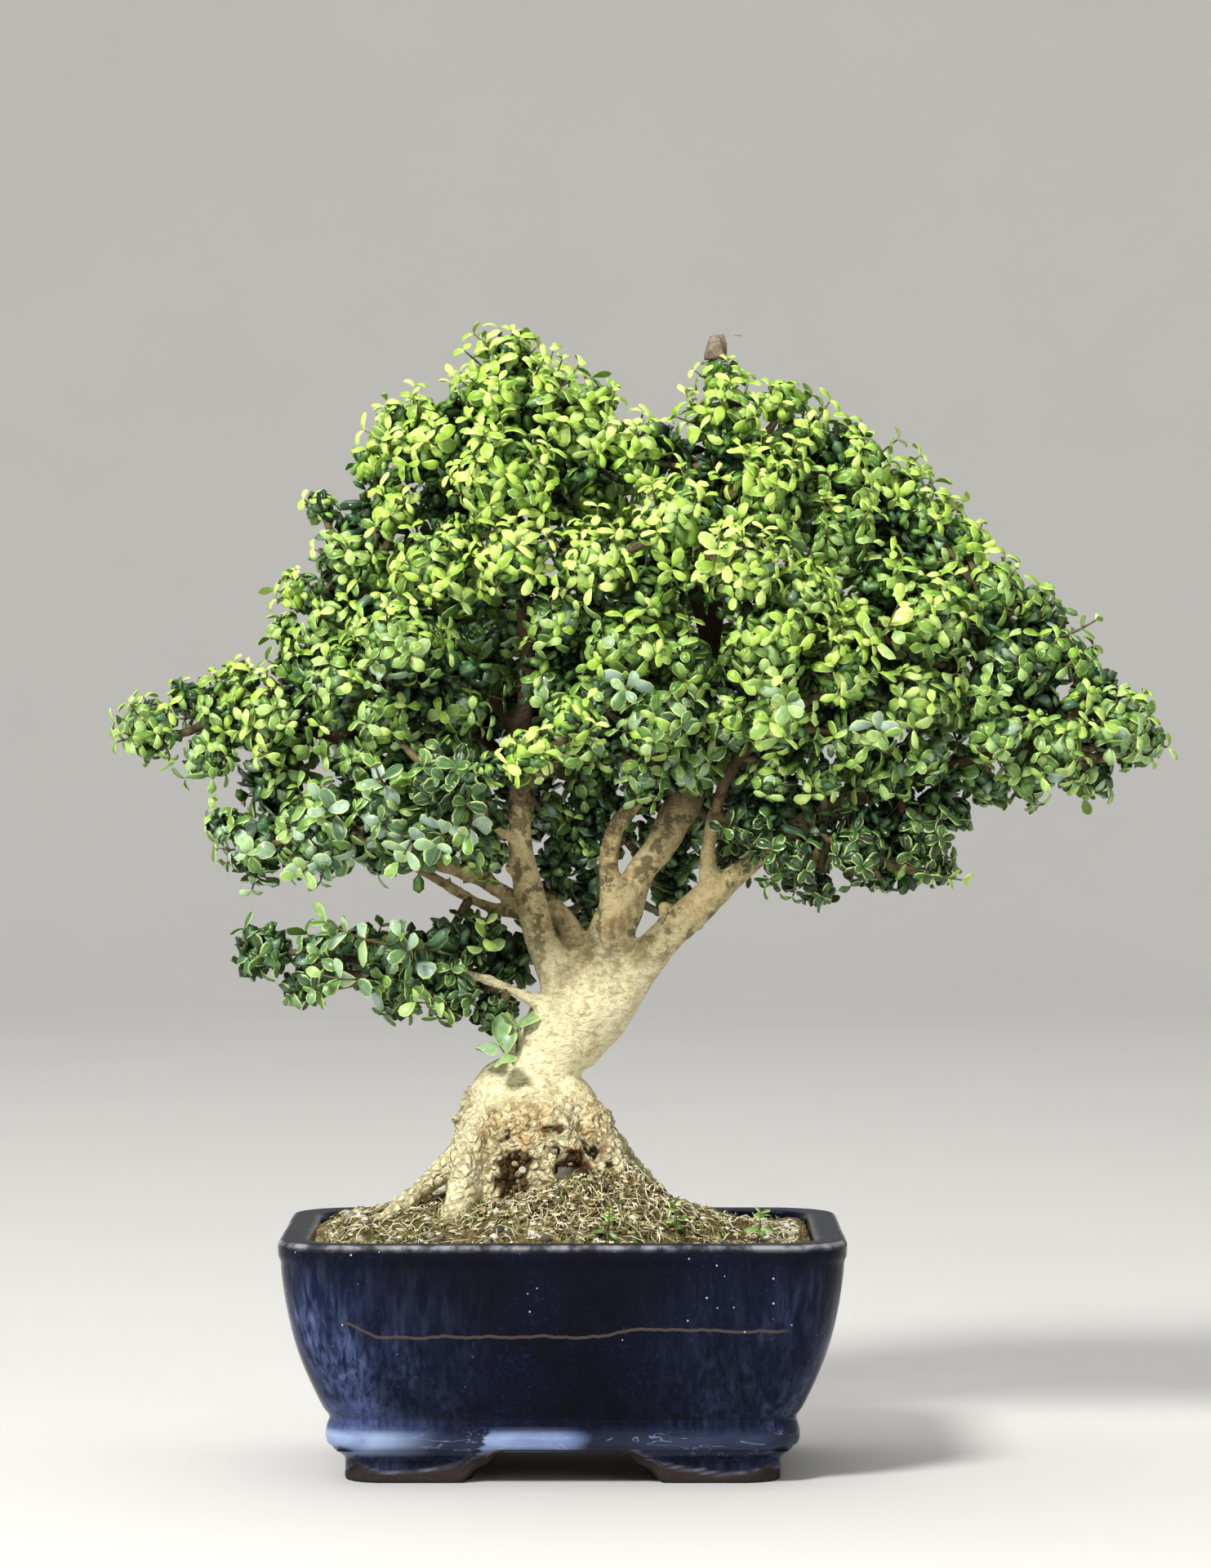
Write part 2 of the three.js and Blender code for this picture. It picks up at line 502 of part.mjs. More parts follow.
// One shoot: a square stem with opposite leaves in pairs, each pair turned a quarter from the
// last, and a pointed bud. The leaves grow out of the stem's own faces, so it is closed as built.
function makeShoot({ foot, axis, spin, size, pairs, random, stem = 6 }) {
  const positions = [];
  const index = [];
  const put = (p) => positions.push(...p.toArray()) / 3 - 1;
  const half = STEM_HALF * Math.max(size, 0.55);
  const corner = (k, z, share) => {
    const angle = (k - 0.5) * Math.PI / 2;
    const reach = half * Math.SQRT2 * share;
    return put(point(Math.cos(angle) * reach, Math.sin(angle) * reach, z));
  };
  const ring = (z, share) => [0, 1, 2, 3].map((k) => corner(k, z, share));
  const quad = (a, b, c, d) => index.push(a, b, c, a, c, d);
  let below = ring(-stem, 1);
  index.push(below[0], below[2], below[1], below[0], below[3], below[2]);
  let height = 0;
  let next = ring(height, 1);
  for (let k = 0; k < 4; k += 1) quad(below[k], below[(k + 1) % 4], next[(k + 1) % 4], next[k]);
  for (let pair = 0; pair < pairs; pair += 1) {
    below = next;
    const share = 1 - 0.28 * (pair + 1) / pairs;
    height += PAIR_SPACING * size * (1 - 0.15 * pair);
    next = ring(height, share);
    for (let k = 0; k < 4; k += 1) {
      const loop = [below[k], below[(k + 1) % 4], next[(k + 1) % 4], next[k]];
      if (k % 2 === pair % 2) {
        const spread = THREE.MathUtils.degToRad(76 - 24 * pair + 10 * (random() - 0.5));
        const grown = size * (1 - 0.16 * pair) * (0.92 + 0.16 * random());
        addLeaf(loop, k, height - 1.2 * size, spread, grown);
      } else {
        quad(...loop);
      }
    }
  }
  const bud = put(point(0, 0, height + 3.4 * size));
  for (let k = 0; k < 4; k += 1) index.push(next[k], next[(k + 1) % 4], bud);

  function addLeaf(loop, side, z, spread, grown) {
    const outward = point(Math.cos(side * Math.PI / 2), Math.sin(side * Math.PI / 2), 0);
    const across = point(-outward.y, outward.x, 0);
    const leaning = (angle) => {
      const rise = up.clone().multiplyScalar(Math.cos(angle));
      return rise.addScaledVector(outward, Math.sin(angle));
    };
    const reach = leaning(spread);
    const droop = leaning(spread + LEAF_ARCH);
    const face = reach.clone().cross(across);
    const root = outward.clone().multiplyScalar(half).addScaledVector(up, z);
    const middle = root.clone().addScaledVector(reach, LEAF_BEND_AT * LEAF_LENGTH * grown);
    const tip = middle.clone().addScaledVector(droop, (1 - LEAF_BEND_AT) * LEAF_LENGTH * grown);
    const thick = Math.max(LEAF_THICK * grown, 1);
    const wide = LEAF_WIDTH * grown / 2;
    const left = put(middle.clone().addScaledVector(across, -wide));
    const right = put(middle.clone().addScaledVector(across, wide));
    const ridge = put(middle.clone().addScaledVector(face, thick));
    const tipLeft = put(tip.clone().addScaledVector(across, -LEAF_TIP_SHARE * wide));
    const tipRight = put(tip.clone().addScaledVector(across, LEAF_TIP_SHARE * wide));
    const [rootLeft, rootRight, topRight, topLeft] = loop;
    quad(rootLeft, rootRight, right, left);
    quad(topRight, topLeft, ridge, right);
    quad(topLeft, rootLeft, left, ridge);
    index.push(rootRight, topRight, right);
    quad(left, right, tipRight, tipLeft);
    quad(ridge, left, tipLeft, tipRight);
    index.push(right, ridge, tipRight);
  }

  const geometry = closedGeometry(positions, index);
  geometry.rotateZ(spin);
  geometry.applyQuaternion(new THREE.Quaternion().setFromUnitVectors(up, axis));
  return geometry.translate(foot.x, foot.y, foot.z);
}

// Directions spread evenly over a ball.
function spreadDirections(count) {
  return Array.from({ length: count }, (_, i) => {
    const z = 1 - 2 * (i + 0.5) / count;
    const turn = i * Math.PI * (3 - Math.sqrt(5));
    const flat = Math.sqrt(1 - z * z);
    return point(flat * Math.cos(turn), flat * Math.sin(turn), z);
  });
}

// Places for a head's shoots: on the lobes' surfaces, outside every other lobe, then the ones
// furthest from those already chosen, with the outer and upper sides of the crown first.
function shootPlaces(name) {
  const lobes = ALL_LOBES.filter((lobe) => lobe.name === name);
  const places = lobes.flatMap((lobe) => spreadDirections(PLACES_PER_LOBE).map((direction) => {
    const surface = lobe.centre.clone().addScaledVector(direction, lobe.radius * SHOOTS_AT);
    const outward = surface.clone().sub(CROWN_HEART).normalize().dot(direction);
    return { lobe, direction, surface, outward };
  }));
  return places.filter(({ lobe, direction, surface, outward }) => {
    const others = ALL_LOBES.filter((other) => other !== lobe);
    const open = others.every((other) => surface.distanceTo(other.centre) > other.radius * LOBE_SHADE);
    return open && outward > LEAST_OUTWARD && direction.z > LOWEST_RISE;
  });
}

// A short woody bar between two lobes of a head whose cores don't reach each other.
function makeLink(from, to, spin) {
  const span = to.clone().sub(from);
  const bar = new THREE.CylinderGeometry(LINK_RADIUS, LINK_RADIUS, span.length(), 3);
  bar.rotateX(Math.PI / 2).rotateZ(spin);
  bar.applyQuaternion(new THREE.Quaternion().setFromUnitVectors(up, span.clone().normalize()));
  const middle = from.clone().lerp(to, 0.5);
  return toSolid(bar.translate(middle.x, middle.y, middle.z));
}

function makeWoodyHeart(lobes, random) {
  const pieces = lobes.map((lobe) => makeCore(lobe, random));
  lobes.slice(1).forEach((lobe, i) => {
    const nearness = (other) => other.centre.distanceTo(lobe.centre) - coreRadius(other);
    const earlier = lobes.slice(0, i + 1);
    const nearest = earlier.reduce((best, other) => (nearness(other) < nearness(best) ? other : best));
    const reach = coreRadius(nearest) + coreRadius(lobe);
    if (nearest.centre.distanceTo(lobe.centre) > LINKED_BEYOND * reach) {
      pieces.push(makeLink(nearest.centre, lobe.centre, 6 * random()));
    }
  });
  return joined(pieces);
}

function makeHead(name, seed, obstacles) {
  const random = makeRandom(seed);
  const lobes = ALL_LOBES.filter((lobe) => lobe.name === name);
  const heart = makeWoodyHeart(lobes, random).subtract(obstacles);
  const waiting = shootPlaces(name);
  const chosen = [];
  const shoots = [];
  const worth = (place) => {
    const gaps = chosen.map((other) => other.surface.distanceTo(place.surface));
    const facing = 9 * place.outward + 5 * place.direction.z - 2 * place.direction.y;
    return Math.min(WIDEST_GAP, ...gaps) + facing;
  };
  while (chosen.length < HEADS[name].shoots && waiting.length) {
    waiting.sort((a, b) => worth(b) - worth(a));
    const place = waiting.shift();
    const shoot = fitShoot(place, random, [obstacles, ...shoots]);
    if (shoot) {
      chosen.push(place);
      shoots.push(shoot);
    }
  }
  return joined([heart, ...shoots]);
}

// Whether a leaf's corner is clear of the cores of its head.
function outsideCores(corner, own) {
  return ALL_LOBES.every((lobe) => lobe.name !== own.name
    || corner.distanceTo(lobe.centre) > coreRadius(lobe) * CORE_SPREAD);
}

// Tries a shoot at full size and smaller, at several turns, until it keeps clear of the other
// heads, the wood and the shoots already there.
function fitShoot({ lobe, direction }, random, others) {
  const axis = direction.clone().addScaledVector(up, 0.2).normalize();
  const turn = random() * Math.PI / 2;
  for (const size of SHOOT_SIZES) {
    for (const spin of SHOOT_SPINS) {
      const out = Math.max(lobe.radius - SHOOT_HEIGHT * size, 0.9 * coreRadius(lobe));
      const foot = lobe.centre.clone().addScaledVector(direction, out);
      const pairs = size > 0.8 ? 3 : 2;
      const stem = out - 0.5 * coreRadius(lobe);
      const geometry = makeShoot({ foot, axis, spin: turn + spin, size, pairs, random, stem });
      const place = geometry.attributes.position;
      const corner = point(0, 0, 0);
      let clear = true;
      for (let i = 0; i < place.count && clear; i += 1) {
        corner.fromBufferAttribute(place, i);
        const above = i < STEM_CORNERS || outsideCores(corner, lobe);
        clear = above && CROWN_BOX.containsPoint(corner) && insideTerritory(corner, lobe);
      }
      if (clear) {
        const shoot = toSolid(geometry);
        if (others.every((other) => shoot.intersect(other).isEmpty())) return shoot;
      }
    }
  }
  return null;
}

// Small plants in the soil and the sprout on the trunk: foot, axis, size, pairs of leaves, how deep
// the stem goes, and the seed of its draws, which turns it too.
const SEEDLINGS = {
  weed_front: { foot: point(12, -43, 70), axis: point(0.1, -0.25, 1), size: 0.42, pairs: 2, stem: 7,
    seed: 42 },
  weed_middle: { foot: point(31, -33, 71), axis: point(-0.2, -0.1, 1), size: 0.36, pairs: 2, stem: 7,
    seed: 12 },
  weed_right: { foot: point(52, -36, 68.5), axis: point(0.3, -0.2, 1), size: 0.44, pairs: 2, stem: 8,
    seed: 23 },
};
const SPROUT = { foot: point(-20, -7, 113), axis: point(-0.8, -0.3, 0.7), size: 0.5, pairs: 2, stem: 9,
  seed: 5 };

function makeSeedling(spec) {
  const random = makeRandom(spec.seed);
  return toSolid(makeShoot({ ...spec, axis: spec.axis.clone().normalize(), spin: spec.seed, random }));
}

// The plain hole that a seedling's stem stands in.
function stemHole(spec) {
  const length = spec.stem + 4;
  const hole = new THREE.CylinderGeometry(1.5, 1.5, length, 8).rotateX(Math.PI / 2);
  hole.translate(0, 0, -length / 2 + 4 - GAP);
  hole.applyQuaternion(new THREE.Quaternion().setFromUnitVectors(up, spec.axis.clone().normalize()));
  return toSolid(hole.translate(spec.foot.x, spec.foot.y, spec.foot.z));
}

// The dried husk: a little bell over a peg of the top right shoot.
const HUSK_AT = point(42, -2, 304.6);
const HUSK_OUTSIDE = [[0, 6.6], [1.5, 6.1], [2.5, 4], [2.9, 1.4], [3.5, 0]];
const HUSK_INSIDE = [[2.6, 0.1], [2.1, 1.6], [1.6, 3.6], [0, 4.6]];
const PEG_BASE = 22;

function makeHusk() {
  const profile = [...HUSK_INSIDE].reverse().concat([...HUSK_OUTSIDE].reverse());
  const bell = new THREE.LatheGeometry(profile.map(([x, y]) => new THREE.Vector2(x, y)), 6);
  bell.rotateX(Math.PI / 2).translate(HUSK_AT.x, HUSK_AT.y, HUSK_AT.z);
  const merged = mergeVertices(stripped(bell), 1e-4);
  const faces = withoutFlatFolds(Array.from(merged.index.array));
  return toSolid(closedGeometry(Array.from(merged.attributes.position.array), faces));
}

function makeHuskPeg() {
  const peg = new THREE.CylinderGeometry(0.7, 1.2, PEG_BASE, 5).rotateX(Math.PI / 2);
  return toSolid(peg.translate(HUSK_AT.x, HUSK_AT.y, HUSK_AT.z + 4.1 - PEG_BASE / 2));
}

function makeHuskRoom() {
  const room = new THREE.CylinderGeometry(4.2, 4.2, 9, 8).rotateX(Math.PI / 2);
  return toSolid(room.translate(HUSK_AT.x, HUSK_AT.y, HUSK_AT.z + 3.6));
}

const tree = new THREE.Group();

function addPiece(name, solid, material) {
  const mesh = new THREE.Mesh(toGeometry(solid), material);
  mesh.name = name;
  tree.add(mesh);
}

const wideWood = makeWood(GAP);
const screens = [-1, 1].map((side) => makeScreen(side));
addPiece('pot', makePot(), glaze);
addPiece('drain_mesh_left', screens[0], plastic);
addPiece('drain_mesh_right', screens[1], plastic);

let soil = makeSoil().subtract(wideWood);
[-1, 1].forEach((side) => {
  const span = SCREEN_SIZE + 2 * GAP;
  const recess = new THREE.BoxGeometry(span, span, 2 * (SCREEN_THICK + GAP));
  soil = soil.subtract(toSolid(recess.translate(side * DRAIN_OFFSET, 0, FLOOR_TOP + GAP)));
});
Object.values(SEEDLINGS).forEach((spec) => {
  soil = soil.subtract(stemHole(spec));
});
const pebbleRoom = lump(PEBBLE.centre, PEBBLE.size.clone().addScalar(GAP), 1);
addPiece('soil', mainBody(soil.subtract(pebbleRoom)), earth);

let wood = makeWood();
HOLLOW_IN_ROOTS.forEach(({ centre, size }) => {
  wood = wood.subtract(lump(centre, size, 1));
});
wood = wood.subtract(stemHole(SPROUT)).subtract(pebbleRoom);
addPiece('trunk', mainBody(wood), bark);
addPiece('pebble', lump(PEBBLE.centre, PEBBLE.size, 1), greyStone);

const wideHusk = makeHuskRoom();
Object.keys(HEADS).forEach((name, number) => {
  const crowned = name === 'apex_right';
  const obstacles = crowned ? wideWood.add(wideHusk) : wideWood;
  let head = null;
  for (let draw = HEADS[name].draw ?? 0; !head || !everyEdgePaired(head); draw += 1) {
    const drawn = makeHead(name, FIRST_SEED + 31 * number + 1009 * draw, obstacles);
    head = mainBody(crowned ? drawn.add(makeHuskPeg()) : drawn);
  }
  addPiece(`foliage_${name}`, head, leafGreen);
});
addPiece('foliage_trunk_sprout', makeSeedling(SPROUT), leafGreen);
Object.entries(SEEDLINGS).forEach(([name, spec]) => {
  addPiece(name, makeSeedling(spec), weedGreen);
});
addPiece('seed_husk', makeHusk(), driedHusk);

tree.position.set(-OBJECT_MIDDLE, 0, 0);

const bonsai = new THREE.Group();
bonsai.add(tree);

export default bonsai;
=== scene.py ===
"""The looks of a kingsville boxwood bonsai in its blue glazed pot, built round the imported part.

Shapes are worked out in millimetres from the middle of the pot, X to the right, Y away from the
camera and Z up, and are moved to the row's frame when their mesh is made.
"""

import math

import bpy
import numpy as np
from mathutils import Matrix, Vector


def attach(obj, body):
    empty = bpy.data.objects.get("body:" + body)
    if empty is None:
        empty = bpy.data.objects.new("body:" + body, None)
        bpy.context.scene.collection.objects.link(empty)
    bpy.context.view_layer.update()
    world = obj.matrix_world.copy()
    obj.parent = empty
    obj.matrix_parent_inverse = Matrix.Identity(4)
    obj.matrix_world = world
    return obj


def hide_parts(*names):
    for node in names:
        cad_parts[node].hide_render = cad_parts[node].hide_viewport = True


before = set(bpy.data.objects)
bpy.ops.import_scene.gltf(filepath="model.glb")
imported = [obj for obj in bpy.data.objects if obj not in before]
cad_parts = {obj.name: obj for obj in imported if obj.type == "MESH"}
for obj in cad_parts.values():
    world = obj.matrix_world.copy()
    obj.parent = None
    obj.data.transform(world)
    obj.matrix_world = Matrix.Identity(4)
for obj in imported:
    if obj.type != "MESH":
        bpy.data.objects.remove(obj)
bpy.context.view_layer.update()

SEED = 4107
MM = 0.001
POT_MIDDLE = np.array([21.5, 0.0, 0.0])
UP = np.array([0.0, 0.0, 1.0])

# The pot, as in the part.
HALF_WIDTH, HALF_DEPTH = 76.7, 57.0
CORNER_RADIUS, CORNER_TIGHTENING = 18.0, 0.42
FOOT_INSET, FOOT_THICK, FOOT_FLARE = 17.6, 8.0, 3.6
FLOOR_TOP = 15.0
DRAIN_OFFSET, DRAIN_RADIUS = 31.0, 6.0
SOIL_EDGE, MOUND_RISE = 63.6, 14.0


# Meshes.

def unit(vectors):
    """Vectors divided by their own lengths."""
    return vectors / np.maximum(np.linalg.norm(vectors, axis=-1, keepdims=True), 1e-9)


def to_row(points):
    """Millimetres from the pot's middle as metres in the row's frame."""
    return (np.asarray(points) - POT_MIDDLE) * MM


def blend_step(low, high, value):
    """0 below low, 1 above high, and 3t^2 - 2t^3 of the share t of the way between."""
    share = np.clip((np.asarray(value, float) - low) / (high - low), 0, 1)
    return share * share * (3 - 2 * share)


class Heap:
    """Blocks of corners and faces for one mesh, with named numbers that each corner carries."""

    def __init__(self, *marks):
        self.points, self.faces, self.kinds = [], [], []
        self.marks = {mark: [] for mark in marks}
        self.count = 0

    def add(self, points, faces, kind=0, **marks):
        """Adds corners with their marks, and faces that count from the first of these corners."""
        points = np.reshape(points, (-1, 3))
        self.points.append(points)
        self.join(np.asarray(faces) + self.count, kind)
        for mark, blocks in self.marks.items():
            value = np.asarray(marks.get(mark, 0.0), float).ravel()
            blocks.append(np.broadcast_to(value, len(points)))
        self.count += len(points)

    def join(self, faces, kind=0):
        """Adds faces between corners of the heap, with the number of their material."""
        self.faces.append(faces)
        self.kinds.append(np.full(len(faces), kind))


def repeated(marks, corners):
    """The marks of many like bodies: each body's number repeated for all its corners."""
    return {mark: np.repeat(value, corners) if np.ndim(value) else value for mark, value in marks.items()}


def add_object(name, data):
    """A new object of the scene that shows the data."""
    thing = bpy.data.objects.new(name, data)
    bpy.context.scene.collection.objects.link(thing)
    return thing


def make_piece(name, heap, materials, nodes=(), smooth=True, sharp=None):
    """One mesh object from a heap, in metres in the row's frame, ridden on the root body.

    Where sharp names a mark, each edge whose two corners carry 1 of it stays sharp.
    """
    mesh = bpy.data.meshes.new(name)
    points = to_row(np.concatenate(heap.points))
    sizes = np.concatenate([np.full(len(faces), faces.shape[1]) for faces in heap.faces])
    corners = np.concatenate([faces.ravel() for faces in heap.faces])
    mesh.vertices.add(len(points))
    mesh.vertices.foreach_set("co", points.ravel())
    mesh.loops.add(len(corners))
    mesh.loops.foreach_set("vertex_index", corners)
    mesh.polygons.add(len(sizes))
    mesh.polygons.foreach_set("loop_start", np.concatenate([[0], np.cumsum(sizes)[:-1]]))
    mesh.polygons.foreach_set("material_index", np.concatenate(heap.kinds))
    mesh.polygons.foreach_set("use_smooth", np.full(len(sizes), smooth))
    mesh.update(calc_edges=True)
    for mark, blocks in heap.marks.items():
        values = np.concatenate(blocks)
        mesh.attributes.new(mark, "FLOAT", "POINT").data.foreach_set("value", values)
        if mark == sharp:
            ends = np.empty(2 * len(mesh.edges), np.int32)
            mesh.edges.foreach_get("vertices", ends)
            keep = np.all(values[ends.reshape(-1, 2)] > 0.99, axis=1)
            mesh.attributes.new("sharp_edge", "BOOLEAN", "EDGE").data.foreach_set("value", keep)
    for material in materials:
        mesh.materials.append(material)
    piece = add_object(name, mesh)
    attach(piece, "root")
    if nodes:
        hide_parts(*nodes)
    return piece


def grid_faces(rows, columns, closed=True):
    """Quads between neighbouring rows of a grid whose rows are rings, or open lines."""
    across = np.arange(columns if closed else columns - 1)
    a = (np.arange(rows - 1)[:, None] * columns + across).ravel()
    b = (np.arange(rows - 1)[:, None] * columns + (across + 1) % columns).ravel()
    return np.stack([a, b, b + columns, a + columns], axis=1)


def full_turn(count):
    """Even angles round a circle, from 0."""
    return np.arange(count) * 2 * np.pi / count


def fan_faces(count):
    """Triangles that close a ring, all from its first corner."""
    return np.stack([np.zeros(count - 2, int), np.arange(1, count - 1), np.arange(2, count)], axis=1)


def round_rings(profile, around, lobed=1.0):
    """Rings of corners round the Z axis, one for each [radius, height] of the profile."""
    turn = full_turn(around)
    rings = [[radius * lobed * np.cos(turn), radius * lobed * np.sin(turn), np.full(around, height)]
             for radius, height in profile]
    return np.concatenate([np.stack(ring, axis=1) for ring in rings])


LOW_BITS = 0xFFFFFFFF


def corner_code(spot, seed):
    """A whole number for each corner of a lattice: its steps times primes, combined bit by bit."""
    across, deep, high = spot[..., 0], spot[..., 1], spot[..., 2]
    return across * 73856093 ^ deep * 19349663 ^ high * 83492791 ^ seed * 2654435761


def lattice_noise(points, scale, seed):
    """Smooth noise in -1..1: hashed numbers at the corners of a lattice of that pitch, blended."""
    places = np.asarray(points, float) / scale
    cell = np.floor(places).astype(np.int64)
    share = places - cell
    share = share * share * (3 - 2 * share)
    total = np.zeros(places.shape[:-1])
    for corner in range(8):
        step = np.array([corner & 1, corner >> 1 & 1, corner >> 2 & 1])
        code = corner_code(cell + step, seed) & LOW_BITS
        code = ((code ^ code >> 15) * 2246822519) & LOW_BITS
        code = ((code ^ code >> 13) * 3266489917) & LOW_BITS
        value = (code ^ code >> 16) / 0x7FFFFFFF - 1
        weight = np.prod(np.where(step == 1, share, 1 - share), axis=-1)
        total += value * weight
    return total


def cell_noise(points, scale, seed):
    """How much farther the second nearest seed is than the nearest, in turns of the scale.

    Each cell of a lattice of that pitch holds one seed at a hashed place, so the result is 0 on
    the creases between the seeds' regions and grows toward each seed.
    """
    places = np.asarray(points, float) / scale
    cell = np.floor(places).astype(np.int64)
    near, next_near = np.full(len(places), 9.0), np.full(len(places), 9.0)
    for step in np.ndindex(3, 3, 3):
        spot = cell + np.array(step) - 1
        code = corner_code(spot, seed)
        shares = []
        for turn in range(3):
            code = (code ^ (code & LOW_BITS) >> 15) * 2246822519 + turn & LOW_BITS
            shares.append((code ^ code >> 13 & 0xFFFF) / LOW_BITS)
        gap = np.linalg.norm(spot + np.stack(shares, axis=1) - places, axis=1)
        next_near = np.minimum(next_near, np.maximum(gap, near))
        near = np.minimum(near, gap)
    return next_near - near


def tubes(paths, radii, sides):
    """Closed tubes along many paths at once.

    Each ring's corners lie at the radius along cos(angle) * first + sin(angle) * second, two
    directions square to the path, and a fan closes each end. Returns corners and faces.
    """
    along = unit(np.gradient(paths, axis=1))
    spine = unit(paths[:, -1] - paths[:, 0])
    lean = np.where(np.abs(spine[:, 2:]) < 0.8, UP, np.array([1.0, 0.0, 0.0]))[:, None]
    first = unit(np.cross(along, lean))
    second = np.cross(along, first)
    angle = full_turn(sides)[:, None]
    spread = np.cos(angle) * first[:, :, None] + np.sin(angle) * second[:, :, None]
    points = paths[:, :, None] + radii[:, :, None, None] * spread
    count, stations = paths.shape[:2]
    wall = grid_faces(stations, sides)
    starts = np.arange(count)[:, None, None] * stations * sides
    walls = (wall[None] + starts).reshape(-1, 4)
    fan = fan_faces(sides)
    ends = np.concatenate([fan[:, ::-1], fan + (stations - 1) * sides])
    return points.reshape(-1, 3), walls, (ends[None] + starts).reshape(-1, 3)


def add_tubes(heap, paths, radii, sides, kind=0, **marks):
    """Adds tubes to a heap; a mark may hold one number a tube."""
    points, walls, ends = tubes(paths, radii, sides)
    start = heap.count
    heap.add(points, walls, kind, **repeated(marks, len(points) // len(paths)))
    heap.join(ends + start, kind)


def bent_paths(starts, controls, ends, stations):
    """Paths (1-t)^2 start + 2t(1-t) control + t^2 end for t from 0 to 1."""
    t = np.linspace(0, 1, stations)[None, :, None]
    return (1 - t) ** 2 * starts[:, None] + 2 * t * (1 - t) * controls[:, None] + t * t * ends[:, None]


def smooth_route(stations, steps):
    """A curve through stations [x, y, z, radius]: Catmull-Rom cubics, steps to a station."""
    s = np.asarray(stations, float)
    s = np.concatenate([2 * s[:1] - s[1:2], s, 2 * s[-1:] - s[-2:-1]])
    t = np.linspace(0, 1, steps, endpoint=False)[None, :, None]
    a, b, c, d = (s[i:len(s) - 3 + i, None] for i in range(4))
    route = 0.5 * (2 * b + (c - a) * t + (2 * a - 5 * b + 4 * c - d) * t ** 2
                   + (3 * b - a - 3 * c + d) * t ** 3)
    return np.concatenate([route.reshape(-1, 4), s[-2:-1]])


# Materials. Colours are display values of 0-255, made linear where they are set.

def linear(red, green, blue):
    """A colour of 0-255 display values as linear numbers."""
    share = np.array([red, green, blue]) / 255
    low = share / 12.92
    high = ((share + 0.055) / 1.055) ** 2.4
    return tuple(np.where(share <= 0.04045, low, high)) + (1.0,)


def set_input(tree, socket, value):
    """Links another node's socket, or sets a colour or another plain value."""
    if isinstance(value, bpy.types.NodeSocket):
        tree.links.new(value, socket)
    elif socket.type == "RGBA":
        socket.default_value = linear(*value)
    else:
        socket.default_value = value


def add_node(tree, kind, inputs=None, **settings):
    """A shader node with its settings and inputs."""
    node = tree.nodes.new(kind)
    for setting, value in settings.items():
        setattr(node, setting, value)
    for key, value in (inputs or {}).items():
        set_input(tree, node.inputs[key], value)
    return node


def noise(tree, place, scale, detail=3.0, roughness=0.55, stretch=None, distortion=0.0):
    """Noise of the scale, in turns a metre, over a place that may be stretched first."""
    if stretch:
        place = add_node(tree, "ShaderNodeMapping", {"Vector": place, "Scale": stretch}).outputs[0]
    inputs = {"Vector": place, "Scale": scale, "Detail": detail, "Roughness": roughness,
              "Distortion": distortion}
    return add_node(tree, "ShaderNodeTexNoise", inputs).outputs["Fac"]


def ramp(tree, value, low, high, start=0.0, end=1.0):
    """value taken from low..high to start..end, smoothly and no further."""
    inputs = {"Value": value, "From Min": low, "From Max": high, "To Min": start, "To Max": end}
    return add_node(tree, "ShaderNodeMapRange", inputs, interpolation_type="SMOOTHSTEP").outputs[0]


def mixed(tree, share, first, second, blend="MIX"):
    """Two colours mixed by a share."""
    inputs = {0: share, 6: first, 7: second}
    return add_node(tree, "ShaderNodeMix", inputs, data_type="RGBA", blend_type=blend).outputs[2]


def maths(tree, operation, first, second=0.0):
    """One operation on two numbers or sockets."""
    return add_node(tree, "ShaderNodeMath", {0: first, 1: second}, operation=operation).outputs[0]


def times(tree, *factors):
    """The product of numbers or sockets."""
    product = factors[0]
    for factor in factors[1:]:
        product = maths(tree, "MULTIPLY", product, factor)
    return product


def plus(tree, first, second):
    """The sum of two numbers or sockets."""
    return maths(tree, "ADD", first, second)


def gap_between(tree, first, second):
    """How far two numbers lie from each other."""
    return maths(tree, "ABSOLUTE", maths(tree, "SUBTRACT", first, second))


def part_of(tree, vector, axis):
    """A vector's X, Y or Z."""
    return add_node(tree, "ShaderNodeSeparateXYZ", {0: vector}).outputs[axis]


def mark(tree, name):
    """The number that each corner of the mesh carries under that name."""
    return add_node(tree, "ShaderNodeAttribute", attribute_name=name).outputs["Fac"]


def object_place(tree):
    """The place on the piece, in metres in the row's frame."""
    return add_node(tree, "ShaderNodeTexCoord").outputs["Object"]


def bump(tree, height, depth, strength=1.0):
    """A bump of that depth in metres from a height of 0..1."""
    inputs = {"Height": height, "Distance": depth, "Strength": strength}
    return add_node(tree, "ShaderNodeBump", inputs).outputs[0]


def new_material(name, **constants):
    """A material with one Principled shader, whose plain values are set on its own sockets."""
    material = bpy.data.materials.new(name)
    material.use_nodes = True
    tree = material.node_tree
    shader = tree.nodes["Principled BSDF"]
    for key, value in constants.items():
        shader.inputs[key.replace("_", " ")].default_value = value
    return material, tree, shader


def feed(tree, shader, **sockets):
    """Links sockets to the shader's inputs by name."""
    for key, socket in sockets.items():
        tree.links.new(socket, shader.inputs[key.replace("_", " ")])


def make_group(name, inputs, outputs):
    """An empty shader node group with named inputs and outputs: (group, its way in, its way out)."""
    group = bpy.data.node_groups.new(name, "ShaderNodeTree")
    for title, kind, value in inputs:
        socket = group.interface.new_socket(title, in_out="INPUT", socket_type=kind)
        if value is not None:
            socket.default_value = value
    for title, kind in outputs:
        group.interface.new_socket(title, in_out="OUTPUT", socket_type=kind)
    return group, group.nodes.new("NodeGroupInput"), group.nodes.new("NodeGroupOutput")


